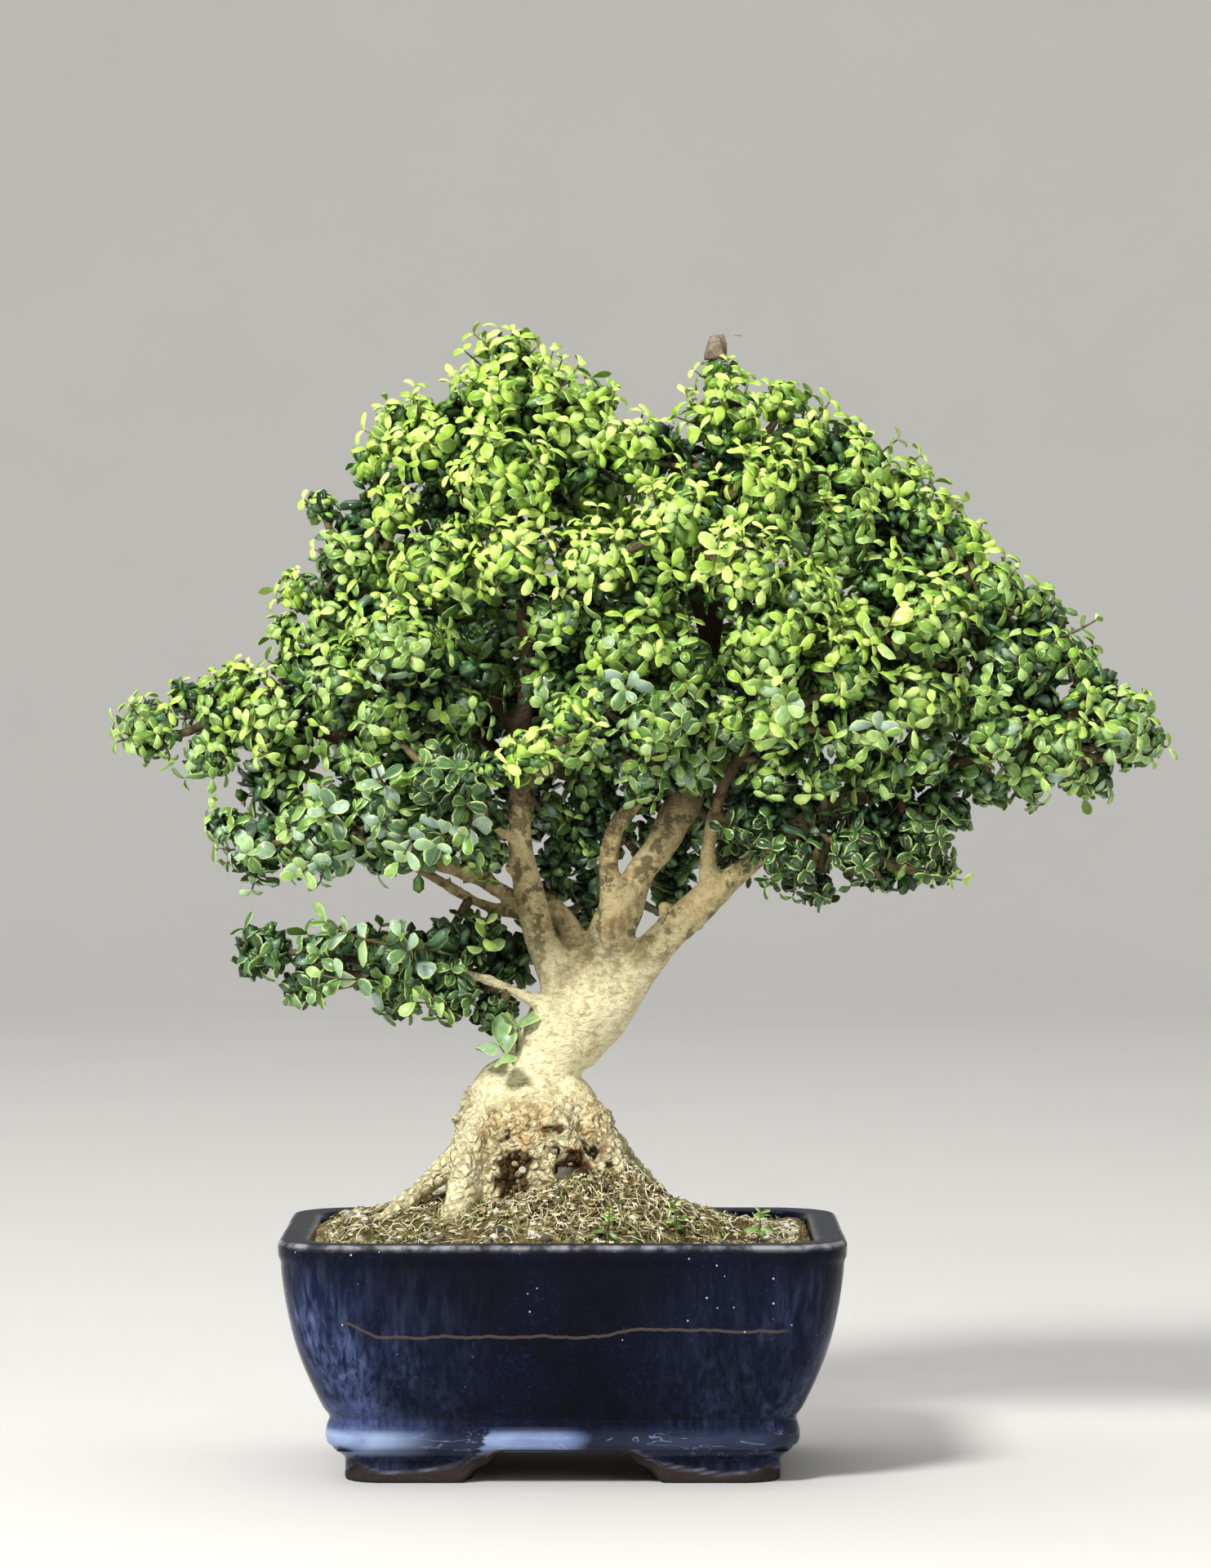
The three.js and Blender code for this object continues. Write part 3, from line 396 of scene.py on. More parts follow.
def make_crumb_group():
    """Crumbly ground and bark: grains of two sizes as a height, and a mask of the hollows between them,
    where the finishes paint shade.
    """
    group, way_in, way_out = make_group(
        "crumb", [("Place", "NodeSocketVector", None), ("Scale", "NodeSocketFloat", 300.0)],
        [("Height", "NodeSocketFloat"), ("Hollow", "NodeSocketFloat")])
    place, scale = way_in.outputs["Place"], way_in.outputs["Scale"]
    coarse = noise(group, place, scale, 4, 0.6)
    fine = noise(group, place, times(group, scale, 3.7), 2, 0.5)
    height = plus(group, times(group, coarse, 0.7), times(group, fine, 0.3))
    group.links.new(height, way_out.inputs["Height"])
    # Hollow: the low part of the height, a mask for painted shade in the hollows.
    group.links.new(ramp(group, height, 0.52, 0.38), way_out.inputs["Hollow"])
    return group


def make_tone_group():
    """Three colours over a share: dark at 0, middle at a half, light at 1."""
    group, way_in, way_out = make_group(
        "tone", [("Share", "NodeSocketFloat", 0.5), ("Dark", "NodeSocketColor", None),
                 ("Middle", "NodeSocketColor", None), ("Light", "NodeSocketColor", None)],
        [("Colour", "NodeSocketColor")])
    share, dark, middle, light = (way_in.outputs[title] for title in ("Share", "Dark", "Middle", "Light"))
    lower = mixed(group, ramp(group, share, 0.0, 0.5), dark, middle)
    group.links.new(mixed(group, ramp(group, share, 0.5, 1.0), lower, light), way_out.inputs["Colour"])
    return group


crumb_group = make_crumb_group()
tone_group = make_tone_group()


def crumbs(tree, place, scale):
    """The crumb group's height and hollows at a scale."""
    node = add_node(tree, "ShaderNodeGroup", node_tree=crumb_group)
    set_input(tree, node.inputs["Place"], place)
    set_input(tree, node.inputs["Scale"], scale)
    return node.outputs["Height"], node.outputs["Hollow"]


def tones(tree, share, dark, middle, light):
    """The tone group's colour for a share between three colours."""
    node = add_node(tree, "ShaderNodeGroup", node_tree=tone_group)
    for title, value in (("Share", share), ("Dark", dark), ("Middle", middle), ("Light", light)):
        set_input(tree, node.inputs[title], value)
    return node.outputs["Colour"]


# A leaf's dark, middle and light tones when old, grown and young; the old leaves' bluish-white light tone is
# a painted waxy sheen.
OLD_LEAF = ((32, 54, 32), (80, 120, 82), (174, 202, 188))
GREEN_LEAF = ((76, 120, 46), (122, 166, 70), (172, 208, 122))
YOUNG_LEAF = ((150, 196, 54), (184, 222, 80), (218, 242, 130))
# The pale margin: partly the leaf's paler rim and partly painted light shining through its thin edge.
LEAF_MARGIN = (216, 240, 144)
LEAF_MIDRIB = (176, 200, 108)
LEAF_GRAIN_DEPTH = 0.00012


def make_leaf_finish():
    """Waxy leaf: blue-green when old, with a painted bluish-white sheen on the lightest, lime when young,
    with a narrow pale margin, partly painted light through the thin edge, and midrib.
    """
    material, tree, shader = new_material("boxwood_leaf", Specular_IOR_Level=0.5)
    place = object_place(tree)
    tint = mark(tree, "tint")
    ages = [tones(tree, tint, *leaf) for leaf in (OLD_LEAF, GREEN_LEAF, YOUNG_LEAF)]
    colour = tones(tree, mark(tree, "young"), *ages)
    blotch = ramp(tree, noise(tree, place, 420, 2), 0.35, 0.7, 0.8, 1.12)
    colour = mixed(tree, 1.0, colour, blotch, "MULTIPLY")
    colour = mixed(tree, ramp(tree, mark(tree, "margin"), 0.66, 0.94, 0.0, 0.7), colour, LEAF_MARGIN)
    colour = mixed(tree, ramp(tree, mark(tree, "rib"), 0.86, 1.0, 0.0, 0.22), colour, LEAF_MIDRIB)
    # The roughness of the waxy face.
    sheen_and_shade = ramp(tree, noise(tree, place, 260, 2), 0.3, 0.7, 0.22, 0.42)
    feed(tree, shader, Base_Color=colour, Roughness=sheen_and_shade,
         Normal=bump(tree, noise(tree, place, 900, 2), LEAF_GRAIN_DEPTH, 0.5))
    return material


def make_underside_finish():
    """The leaf's underside: paler, duller and yellower than its face."""
    material, tree, shader = new_material("leaf_underside", Roughness=0.6, Specular_IOR_Level=0.3)
    place = object_place(tree)
    old = mixed(tree, mark(tree, "tint"), (46, 66, 42), (88, 112, 76))
    young = mixed(tree, mark(tree, "tint"), (116, 152, 58), (162, 192, 92))
    grain = noise(tree, place, 600, 3)
    colour = mixed(tree, mark(tree, "young"), old, young)
    colour = mixed(tree, 1.0, colour, ramp(tree, grain, 0.3, 0.7, 0.85, 1.1), "MULTIPLY")
    feed(tree, shader, Base_Color=colour, Normal=bump(tree, grain, LEAF_GRAIN_DEPTH, 0.5))
    return material


def make_twig_finish():
    """Twigs: green-brown near the leaves, grey-brown where they are older, with painted shade in the hollows
    of the bark.
    """
    material, tree, shader = new_material("boxwood_twig", Roughness=0.75)
    height, hollow = crumbs(tree, object_place(tree), 500)
    colour = mixed(tree, height, (70, 58, 38), (134, 118, 80))
    colour = mixed(tree, mark(tree, "young"), colour, (116, 138, 62))
    # Painted shade: darker brown in the hollows of the bark's grains.
    feed(tree, shader, Base_Color=mixed(tree, hollow, colour, (50, 42, 28)),
         Normal=bump(tree, height, 0.0002, 0.7))
    return material


# Heights in metres over which one kind of bark gives way to the next, from none of it to all of it, and, for
# the last pair, over which painted shade darkens the wood inside the crown.
ROOT_CORK = (0.108, 0.092)
STAINED_BARK = (0.118, 0.152)
TAN_BARK = (0.124, 0.16)
LICHEN_BARK = (0.126, 0.152)
# Painted shade on the wood inside the crown, none at the lower height and all at the upper.
PAINTED_CROWN_SHADE = (0.168, 0.196)
# The two sides, in metres across, of the ochre patch between the front roots.
OCHRE_LEFT = (-0.046, -0.040)
OCHRE_RIGHT = (-0.006, -0.014)
CORK_GRAINS = 380.0


def cork_grains(tree, place):
    """Grains of cork over a place bent by noise: (distance to a grain's edge, a number of its own)."""
    warp = add_node(tree, "ShaderNodeTexNoise", {"Vector": place, "Scale": 200.0}).outputs["Color"]
    bent = add_node(tree, "ShaderNodeVectorMath", {0: warp, "Scale": 0.004}, operation="SCALE").outputs[0]
    bent = add_node(tree, "ShaderNodeVectorMath", {0: bent, 1: place}, operation="ADD").outputs[0]
    inputs = {"Vector": bent, "Scale": CORK_GRAINS}
    edges = add_node(tree, "ShaderNodeTexVoronoi", inputs, feature="DISTANCE_TO_EDGE")
    cells = add_node(tree, "ShaderNodeTexVoronoi", inputs)
    return edges.outputs["Distance"], part_of(tree, cells.outputs["Color"], "X")


def trunk_and_root_tones(tree, place, cork, low, odd):
    """Cream on the trunk and straw on the roots, with ochre grains between the front roots."""
    cream = mixed(tree, cork, (236, 220, 164), (255, 253, 220))
    straw = mixed(tree, cork, (236, 220, 162), (255, 253, 218))
    ochre = mixed(tree, cork, (206, 164, 96), (252, 228, 168))
    across = part_of(tree, place, "X")
    patches = plus(tree, noise(tree, place, 58, 3), times(tree, odd, 0.3))
    share = times(tree, ramp(tree, patches, 0.6, 0.82), ramp(tree, across, *OCHRE_LEFT),
                  ramp(tree, across, *OCHRE_RIGHT))
    return mixed(tree, low, cream, mixed(tree, share, straw, ochre))


def add_seams(tree, colour, place, low, wrinkles, grains):
    """Brown in the fine wrinkles and darker between the roots' grains, where the relief sinks: the bark's
    own brown with painted shade in these creases.
    """
    colour = mixed(tree, times(tree, ramp(tree, wrinkles, 0.47, 0.34), 0.55), colour, (158, 126, 74))
    between = times(tree, ramp(tree, grains, 0.16, 0.03), ramp(tree, noise(tree, place, 120, 3), 0.36, 0.6))
    return mixed(tree, times(tree, between, times(tree, low, 0.5)), colour, (92, 62, 30))


def add_limb_tones(tree, colour, place, cork, rise):
    """Tan on the limbs, and brown stains that are faint on the trunk."""
    tan = mixed(tree, cork, (150, 130, 84), (228, 210, 158))
    colour = mixed(tree, ramp(tree, rise, *TAN_BARK, 0.0, 0.9), colour, tan)
    broad = noise(tree, place, 90, 5, 0.66, stretch=(1.0, 1.0, 0.5))
    ragged = noise(tree, place, 340, 3, 0.6)
    stain = ramp(tree, plus(tree, times(tree, broad, 0.7), times(tree, ragged, 0.3)), 0.47, 0.6)
    brown = mixed(tree, cork, (98, 78, 48), (178, 152, 104))
    return mixed(tree, times(tree, stain, ramp(tree, rise, *STAINED_BARK, 0.12, 0.8)), colour, brown)


def add_lichen(tree, colour, place, rise):
    """Dark lichen in ragged patches on the limbs."""
    share = times(tree, ramp(tree, noise(tree, place, 240, 5, 0.7), 0.49, 0.57),
                  ramp(tree, rise, *LICHEN_BARK), ramp(tree, noise(tree, place, 60, 3), 0.43, 0.52), 0.85)
    return mixed(tree, share, colour, mixed(tree, noise(tree, place, 480, 3), (44, 42, 28), (110, 106, 72)))


def add_shade(tree, colour, place, cork, pits, rise):
    """Painted shade: brown in the small pits, dark wood inside the crown, and near-black in the crevices,
    where dark earth also lies.
    """
    # Painted shade: brown in the small pits of the cork's grains.
    colour = mixed(tree, times(tree, pits, 0.25), colour, (124, 94, 54))
    shaded = mixed(tree, cork, (40, 32, 22), (92, 78, 54))
    # Painted shade: the wood turns dark brown inside the crown.
    colour = mixed(tree, ramp(tree, rise, *PAINTED_CROWN_SHADE), colour, shaded)
    # Painted shade with some dark earth: near-black to brown in the crevices and hollows of the roots.
    crevice_shade_and_earth = mixed(tree, noise(tree, place, 420, 3), (16, 12, 8), (112, 80, 44))
    return mixed(tree, ramp(tree, mark(tree, "crevice"), 0.12, 0.8), colour, crevice_shade_and_earth)


def make_bark_finish():
    """Pale corky bark: cream on the trunk, ochre and granular on the roots, brown on the limbs."""
    material, tree, shader = new_material("pale_bark", Roughness=0.85, Specular_IOR_Level=0.25)
    place = object_place(tree)
    rise = part_of(tree, place, "Z")
    cork, pits = crumbs(tree, place, 420)
    low = ramp(tree, rise, *ROOT_CORK)
    wrinkles = noise(tree, place, 620, 3, 0.6, stretch=(0.7, 0.7, 1.5), distortion=0.8)
    grains, odd = cork_grains(tree, place)
    colour = trunk_and_root_tones(tree, place, cork, low, odd)
    colour = add_seams(tree, colour, place, low, wrinkles, grains)
    colour = add_limb_tones(tree, colour, place, cork, rise)
    colour = add_lichen(tree, colour, place, rise)
    colour = add_shade(tree, colour, place, cork, pits, rise)
    fine = times(tree, wrinkles, ramp(tree, low, 0.0, 1.0, 0.6, 0.2))
    lumps = times(tree, ramp(tree, grains, 0.0, 0.3), times(tree, low, 0.7))
    relief = plus(tree, plus(tree, times(tree, cork, 0.6), fine), lumps)
    feed(tree, shader, Base_Color=colour, Normal=bump(tree, relief, 0.0013, 1.0))
    return material


# The painted reflection of an edge across the pot's front, a thin line: its height, and the distances from
# it where it ends and is full.
REFLECTION_LEVEL = 0.0411
REFLECTION_FADE = (0.00055, 0.00025)


def painted_edge_reflection(tree, place):
    """A painted reflection of an edge before the pot, a thin wavy line across the front: high at its left
    end, sagging, then a little higher.
    """
    across, rise = part_of(tree, place, "X"), part_of(tree, place, "Z")
    level = plus(tree, ramp(tree, across, -0.070, -0.080, 0.0, 0.0038), REFLECTION_LEVEL)
    level = plus(tree, level, ramp(tree, across, -0.014, 0.0, 0.0, 0.0022))
    level = maths(tree, "SUBTRACT", level, ramp(tree, across, 0.002, 0.02, 0.0, 0.0006))
    wobble = noise(tree, place, 90, 3, 0.6, stretch=(1.0, 0.0, 0.0))
    level = plus(tree, level, ramp(tree, wobble, 0.25, 0.75, -0.0005, 0.0005))
    return times(tree, ramp(tree, gap_between(tree, rise, level), *REFLECTION_FADE), mark(tree, "line"))


def night_blue(tree, place, across, grain, runs):
    """Night blue with a dust of lighter blue, and streaks where the glaze ran at the corners."""
    cloud = noise(tree, place, 42, 3)
    deep = mixed(tree, ramp(tree, cloud, 0.3, 0.7), (4, 6, 14), (7, 12, 32))
    dust = times(tree, ramp(tree, grain, 0.52, 0.78), ramp(tree, cloud, 0.38, 0.62, 0.1, 0.6))
    deep = mixed(tree, dust, deep, (32, 44, 84))
    drift = noise(tree, place, 110, 4, 0.6, stretch=(1.0, 1.0, 0.28))
    streaks = times(tree, ramp(tree, runs, 0.34, 0.72), ramp(tree, drift, 0.3, 0.7, 0.25, 1.0))
    corner_blue = mixed(tree, streaks, (22, 30, 66), (104, 122, 170))
    share = times(tree, mark(tree, "runny"), ramp(tree, across, -0.04, 0.03, 0.85, 0.5),
                  ramp(tree, drift, 0.3, 0.62, 0.45, 0.95))
    return mixed(tree, share, deep, corner_blue)


def add_haze(tree, colour, across, grain, runs):
    """Violet haze above the foot, strong at the left corner and faint from there on."""
    haze = times(tree, mark(tree, "haze"), ramp(tree, across, -0.088, -0.045, 0.72, 0.06),
                 ramp(tree, runs, 0.3, 0.7, 0.5, 1.0))
    return mixed(tree, haze, colour, mixed(tree, grain, (44, 54, 100), (104, 120, 170)))


def add_milky_band(tree, colour, place, across):
    """The bead round the foot: milky at the left corner and in one patch, dark with veins elsewhere."""
    patches = noise(tree, place, 46, 4, 0.6, stretch=(0.5, 0.5, 2.0), distortion=0.6)
    dim = mixed(tree, ramp(tree, patches, 0.4, 0.7), (10, 12, 26), (32, 38, 64))
    bright = mixed(tree, ramp(tree, patches, 0.35, 0.65), (124, 142, 188), (172, 192, 232))
    ragged = plus(tree, across, ramp(tree, patches, 0.3, 0.7, -0.003, 0.003))
    pale = times(tree, ramp(tree, ragged, -0.0435, -0.042), ramp(tree, ragged, -0.014, -0.024))
    pale = maths(tree, "MAXIMUM", pale, ramp(tree, ragged, -0.05, -0.074))
    milk = mixed(tree, maths(tree, "MAXIMUM", times(tree, pale, 0.9), 0.06), dim, bright)
    veins = noise(tree, place, 120, 3, 0.6, stretch=(0.4, 0.4, 1.5), distortion=1.2)
    vein = ramp(tree, gap_between(tree, veins, 0.5), 0.012, 0.003, 0.0, 0.35)
    return mixed(tree, mark(tree, "band"), colour, mixed(tree, vein, milk, (168, 182, 228)))


def add_lip_sheen_and_edge_highlight(tree, colour, mottle):
    """The lip's flat top, dull grey-blue where the glaze is thin with painted sheen, and a pale line on its
    front edge, partly thin glaze and partly a painted highlight.
    """
    # Thin glaze with painted sheen: grey-blue on the lip's flat top.
    flat = times(tree, mark(tree, "lip"), ramp(tree, mottle, 0.4, 0.66, 0.1, 0.85))
    # Partly thin glaze and partly a painted highlight: the pale line on the lip's front edge.
    edge = times(tree, mark(tree, "edge"), ramp(tree, mottle, 0.38, 0.62, 0.12, 0.95))
    return mixed(tree, edge, mixed(tree, flat, colour, (44, 48, 62)), (152, 150, 156))


def add_specks(tree, colour, place):
    """Pale specks: discs of many sizes in the middles of cells, only where a noise is high."""
    cells = add_node(tree, "ShaderNodeTexVoronoi", {"Vector": place, "Scale": 400.0})
    odd, rise = part_of(tree, cells.outputs["Color"], "X"), part_of(tree, place, "Z")
    reach = times(tree, ramp(tree, odd, 0.3, 1.0, 0.0, 0.12), ramp(tree, rise, 0.03, 0.048, 0.4, 1.0))
    specks = times(tree, maths(tree, "LESS_THAN", cells.outputs["Distance"], reach),
                   ramp(tree, noise(tree, place, 42, 2), 0.48, 0.54))
    return mixed(tree, specks, colour, (186, 192, 206))


def add_clay(tree, colour, grains, mottle):
    """Bare clay on the feet and inside, with a pale line where the glaze ends."""
    clay = mixed(tree, grains, (26, 22, 24), (66, 58, 54))
    ending = times(tree, mark(tree, "glaze_end"), ramp(tree, mottle, 0.35, 0.65, 0.15, 0.7))
    return mixed(tree, ending, mixed(tree, mark(tree, "bare"), colour, clay), (128, 130, 146))


def make_glaze_finish():
    """Night-blue glaze that runs to violet-blue at the corners and milky blue over the foot."""
    material, tree, shader = new_material("blue_glaze", Specular_IOR_Level=0.085)
    place = object_place(tree)
    across = part_of(tree, place, "X")
    grain = noise(tree, place, 900, 3, 0.6)
    runs = noise(tree, place, 620, 4, 0.6, stretch=(1.0, 1.0, 0.09), distortion=0.4)
    mottle = noise(tree, place, 150, 4, 0.6)
    clay_grains = crumbs(tree, place, 700)[0]
    colour = night_blue(tree, place, across, grain, runs)
    colour = add_haze(tree, colour, across, grain, runs)
    colour = add_milky_band(tree, colour, place, across)
    colour = add_lip_sheen_and_edge_highlight(tree, colour, mottle)
    # Painted reflection: a thin brown-grey line across the front.
    colour = mixed(tree, times(tree, painted_edge_reflection(tree, place), 0.85), colour, (80, 72, 64))
    colour = add_specks(tree, colour, place)
    colour = add_clay(tree, colour, clay_grains, mottle)
    bare = mark(tree, "bare")
    gloss = plus(tree, ramp(tree, mottle, 0.3, 0.7, 0.08, 0.16), times(tree, bare, 0.6))
    gloss = plus(tree, gloss, times(tree, mark(tree, "lip"), 0.3))
    relief = plus(tree, times(tree, mottle, 0.5), times(tree, clay_grains, bare))
    feed(tree, shader, Base_Color=colour, Roughness=gloss, Normal=bump(tree, relief, 0.0004, 0.35))
    return material


def make_ground_finish(name, scale, roughness, *colours):
    """Soil, moss, straw and stone: crumbs in three colours that also vary over a patch, with painted shade
    in the hollows between the crumbs.
    """
    material, tree, shader = new_material(name, Roughness=roughness, Specular_IOR_Level=0.25)
    place = object_place(tree)
    height, hollow = crumbs(tree, place, scale)
    share = plus(tree, times(tree, height, 0.5), times(tree, noise(tree, place, 55, 3), 0.5))
    share = plus(tree, share, maths(tree, "SUBTRACT", mark(tree, "tint"), 0.5))
    colour = tones(tree, ramp(tree, share, 0.2, 0.8), *colours)
    # Painted shade: the dark colour laid in the crumbs' hollows.
    colour = mixed(tree, times(tree, hollow, 0.5), colour, colours[0])
    feed(tree, shader, Base_Color=colour, Normal=bump(tree, height, 0.0006, 0.8))
    return material


leaf_finish = make_leaf_finish()
underside_finish = make_underside_finish()
twig_finish = make_twig_finish()
bark_finish = make_bark_finish()
glaze_finish = make_glaze_finish()

# Each: name, crumbs a metre, roughness, then dark, middle and light.
soil_finish = make_ground_finish("potting_soil", 420, 0.92, (34, 27, 17), (104, 90, 58), (190, 172, 124))
straw_finish = make_ground_finish("dry_straw", 300, 0.92, (126, 110, 72), (214, 202, 154), (252, 248, 216))
moss_finish = make_ground_finish("moss", 500, 0.92, (46, 54, 22), (104, 116, 52), (166, 176, 98))
stone_finish = make_ground_finish("pale_stone", 260, 0.8, (88, 82, 72), (156, 150, 138), (228, 226, 216))
husk_finish = make_ground_finish("dried_husk", 520, 0.92, (62, 52, 42), (128, 114, 96), (190, 178, 158))
plastic_finish = make_ground_finish("drain_plastic", 200, 0.5, (14, 15, 14), (26, 28, 26), (44, 46, 43))


# The leaves and their shoots.

LEAF_MATERIALS = [leaf_finish, twig_finish, underside_finish]
FACE, TWIG, UNDERSIDE = 0, 1, 2
LEAF_MARKS = ("young", "tint", "margin", "rib")
LEAF_THICK = 0.3
# The length of leaf, in millimetres, for which a shoot's spacing is given.
SPACING_LEAF = 7.0


def leaf_form(stations, outline, rim):
    """A leaf's stations and outline, how pale its rim is, and its faces above, below and at the ends.

    Corner 0 is the root, then each ring has a left edge, the ridge and a right edge, then the tip.
    """
    rings = len(stations) - 2
    left = 1 + 3 * np.arange(rings - 1)
    top, right = left + 1, left + 2
    upper = np.concatenate([np.stack([top, right, right + 3, top + 3], axis=1),
                            np.stack([left, top, top + 3, left + 3], axis=1)])
    under = np.stack([right, left, left + 3, right + 3], axis=1)
    last = 1 + 3 * (rings - 1)
    tip = 1 + 3 * rings
    upper_ends = np.array([(0, 3, 2), (0, 2, 1), (last + 1, last + 2, tip), (last, last + 1, tip)])
    under_ends = np.array([(0, 1, 3), (last + 2, last, tip)])
    return np.array(stations), np.array(outline), rim, (upper, under, upper_ends, under_ends)


FINE_LEAF = leaf_form([0.0, 0.17, 0.42, 0.70, 0.92, 1.0], [0.08, 0.46, 0.88, 1.0, 0.64, 0.0], 1.0)
PLAIN_LEAF = leaf_form([0.0, 0.24, 0.56, 0.88, 1.0], [0.08, 0.62, 1.0, 0.74, 0.0], 0.86)
INNER_LEAF = leaf_form([0.0, 0.34, 0.8, 1.0], [0.08, 0.86, 0.9, 0.0], 0.4)


def add_leaves(heap, form, roots, stems, sides, length, width, spread, arch, fold, twist, **marks):
    """Adds a leaf at each root.

    The midrib is an arc: its angle to the stem goes from spread to spread + arch along the leaf.
    Each edge lies half the outline's width to its side of the midrib, turned down by fold, and
    the blade is turned about the midrib by twist. A flat underside joins the two edges.
    """
    stations, outline, rim, (upper, under, upper_ends, under_ends) = form
    u = stations[None, :]
    angle = spread[:, None] + arch[:, None] * u
    bend = arch[:, None]
    out = length[:, None] * (np.cos(spread[:, None]) - np.cos(angle)) / bend
    rise = length[:, None] * (np.sin(angle) - np.sin(spread[:, None])) / bend
    s, t = sides[:, None], stems[:, None]
    middle = roots[:, None] + out[..., None] * s + rise[..., None] * t
    face = -np.cos(angle)[..., None] * s + np.sin(angle)[..., None] * t
    across = np.cross(s, t)
    turn = twist[:, None, None]
    wide = across * np.cos(turn) + face * np.sin(turn)
    face = face * np.cos(turn) - across * np.sin(turn)
    half = (width[:, None] / 2 * outline)[..., None]
    down = fold[:, None, None]
    left = middle - wide * half * np.cos(down) - face * half * np.sin(down)
    right = middle + wide * half * np.cos(down) - face * half * np.sin(down)
    rings = len(stations) - 2
    count = 2 + 3 * rings
    points = np.empty((len(roots), count, 3))
    points[:, 0] = middle[:, 0]
    points[:, -1] = middle[:, -1]
    for k, part in enumerate((left, middle + face * LEAF_THICK, right)):
        points[:, 1 + k:-1:3] = part[:, 1:-1]
    corner = np.arange(count)
    ridge = corner % 3 == 2
    ridge[-1] = False
    starts = np.arange(len(roots))[:, None, None] * count
    shown = repeated(marks, count)
    shown["margin"] = np.tile((~ridge).astype(float), len(roots)) * rim
    shown["rib"] = np.tile(ridge.astype(float), len(roots))
    start = heap.count
    heap.add(points, (upper + starts).reshape(-1, 4), FACE, **shown)
    for faces, kind in ((under, UNDERSIDE), (upper_ends, FACE), (under_ends, UNDERSIDE)):
        heap.join((faces + starts).reshape(-1, faces.shape[1]) + start, kind)


def add_shoots(heap, form, rng, hearts, tips, heading, pairs, size, slim, young, spacing=2.0, curl=1.0,
               sheen_and_shade=0.0):
    """Adds leafy shoots: a twig from each heart to its tip, and pairs of leaves near the tip.

    The twig is a bent path that reaches the tip along its heading. Pairs stand square to the
    pair before, the lowest at right angles to the twig and the last ones nearly along it, and
    the leaves grow smaller toward the tip.
    """
    count = len(tips)
    reach = np.linalg.norm(tips - hearts, axis=1)
    controls = tips - heading * (0.55 * reach)[:, None]
    paths = bent_paths(hearts, controls, tips, 4)
    thin = np.linspace(1.0, 0.5, 4)[None] * rng.uniform(0.42, 0.62, count)[:, None]
    add_tubes(heap, paths, thin, 3, TWIG, young=young * 0.6, tint=rng.random(count))
    turn = rng.uniform(0, np.pi, count)
    lean = unit(np.cross(heading, unit(rng.normal(size=(count, 3)))))
    for k in range(pairs + 1):
        age = k / max(pairs, 1)
        back = np.clip(k * spacing * size / SPACING_LEAF * rng.uniform(0.85, 1.2, count) / reach, 0, 0.9)
        t = (1 - back)[:, None]
        spots = (1 - t) ** 2 * hearts + 2 * t * (1 - t) * controls + t * t * tips
        stems = unit(2 * (1 - t) * (controls - hearts) + 2 * t * (tips - controls))
        lean = unit(lean - stems * np.sum(lean * stems, axis=1, keepdims=True))
        other = np.cross(stems, lean)
        angle = turn + k * np.pi / 2
        for half in (0, np.pi):
            bearing = angle + half + rng.normal(0, 0.16, count)
            sides = np.cos(bearing)[:, None] * lean + np.sin(bearing)[:, None] * other
            stage = min(k / 3.0, 1.0)
            grown = (0.6 + 0.4 * stage) * rng.uniform(0.84, 1.14, count)
            length = size * grown
            spread = np.radians(26 + 34 * stage + rng.normal(0, 11, count))
            arch = rng.uniform(1.8, 3.4, count) * (0.75 + 0.25 * stage) * curl
            fresh = np.clip(young + 0.42 * (1 - age) - 0.2 + rng.normal(0, 0.08, count), 0, 1)
            shape = PLAIN_LEAF if k >= 3 and form is FINE_LEAF else form
            width = length * slim * rng.uniform(0.9, 1.12, count)
            fold = rng.uniform(0.2, 0.75, count)
            twist = rng.normal(0, 0.22, count)
            # The last habit number lifts each tint toward the light tone, a painted waxy sheen, and when
            # below 0 lowers it toward the dark tone as painted shade.
            tint = np.clip(rng.random(count) + sheen_and_shade, 0, 1)
            add_leaves(heap, shape, spots, stems, sides, length, width, spread, arch, fold, twist,
                       young=fresh, tint=tint)


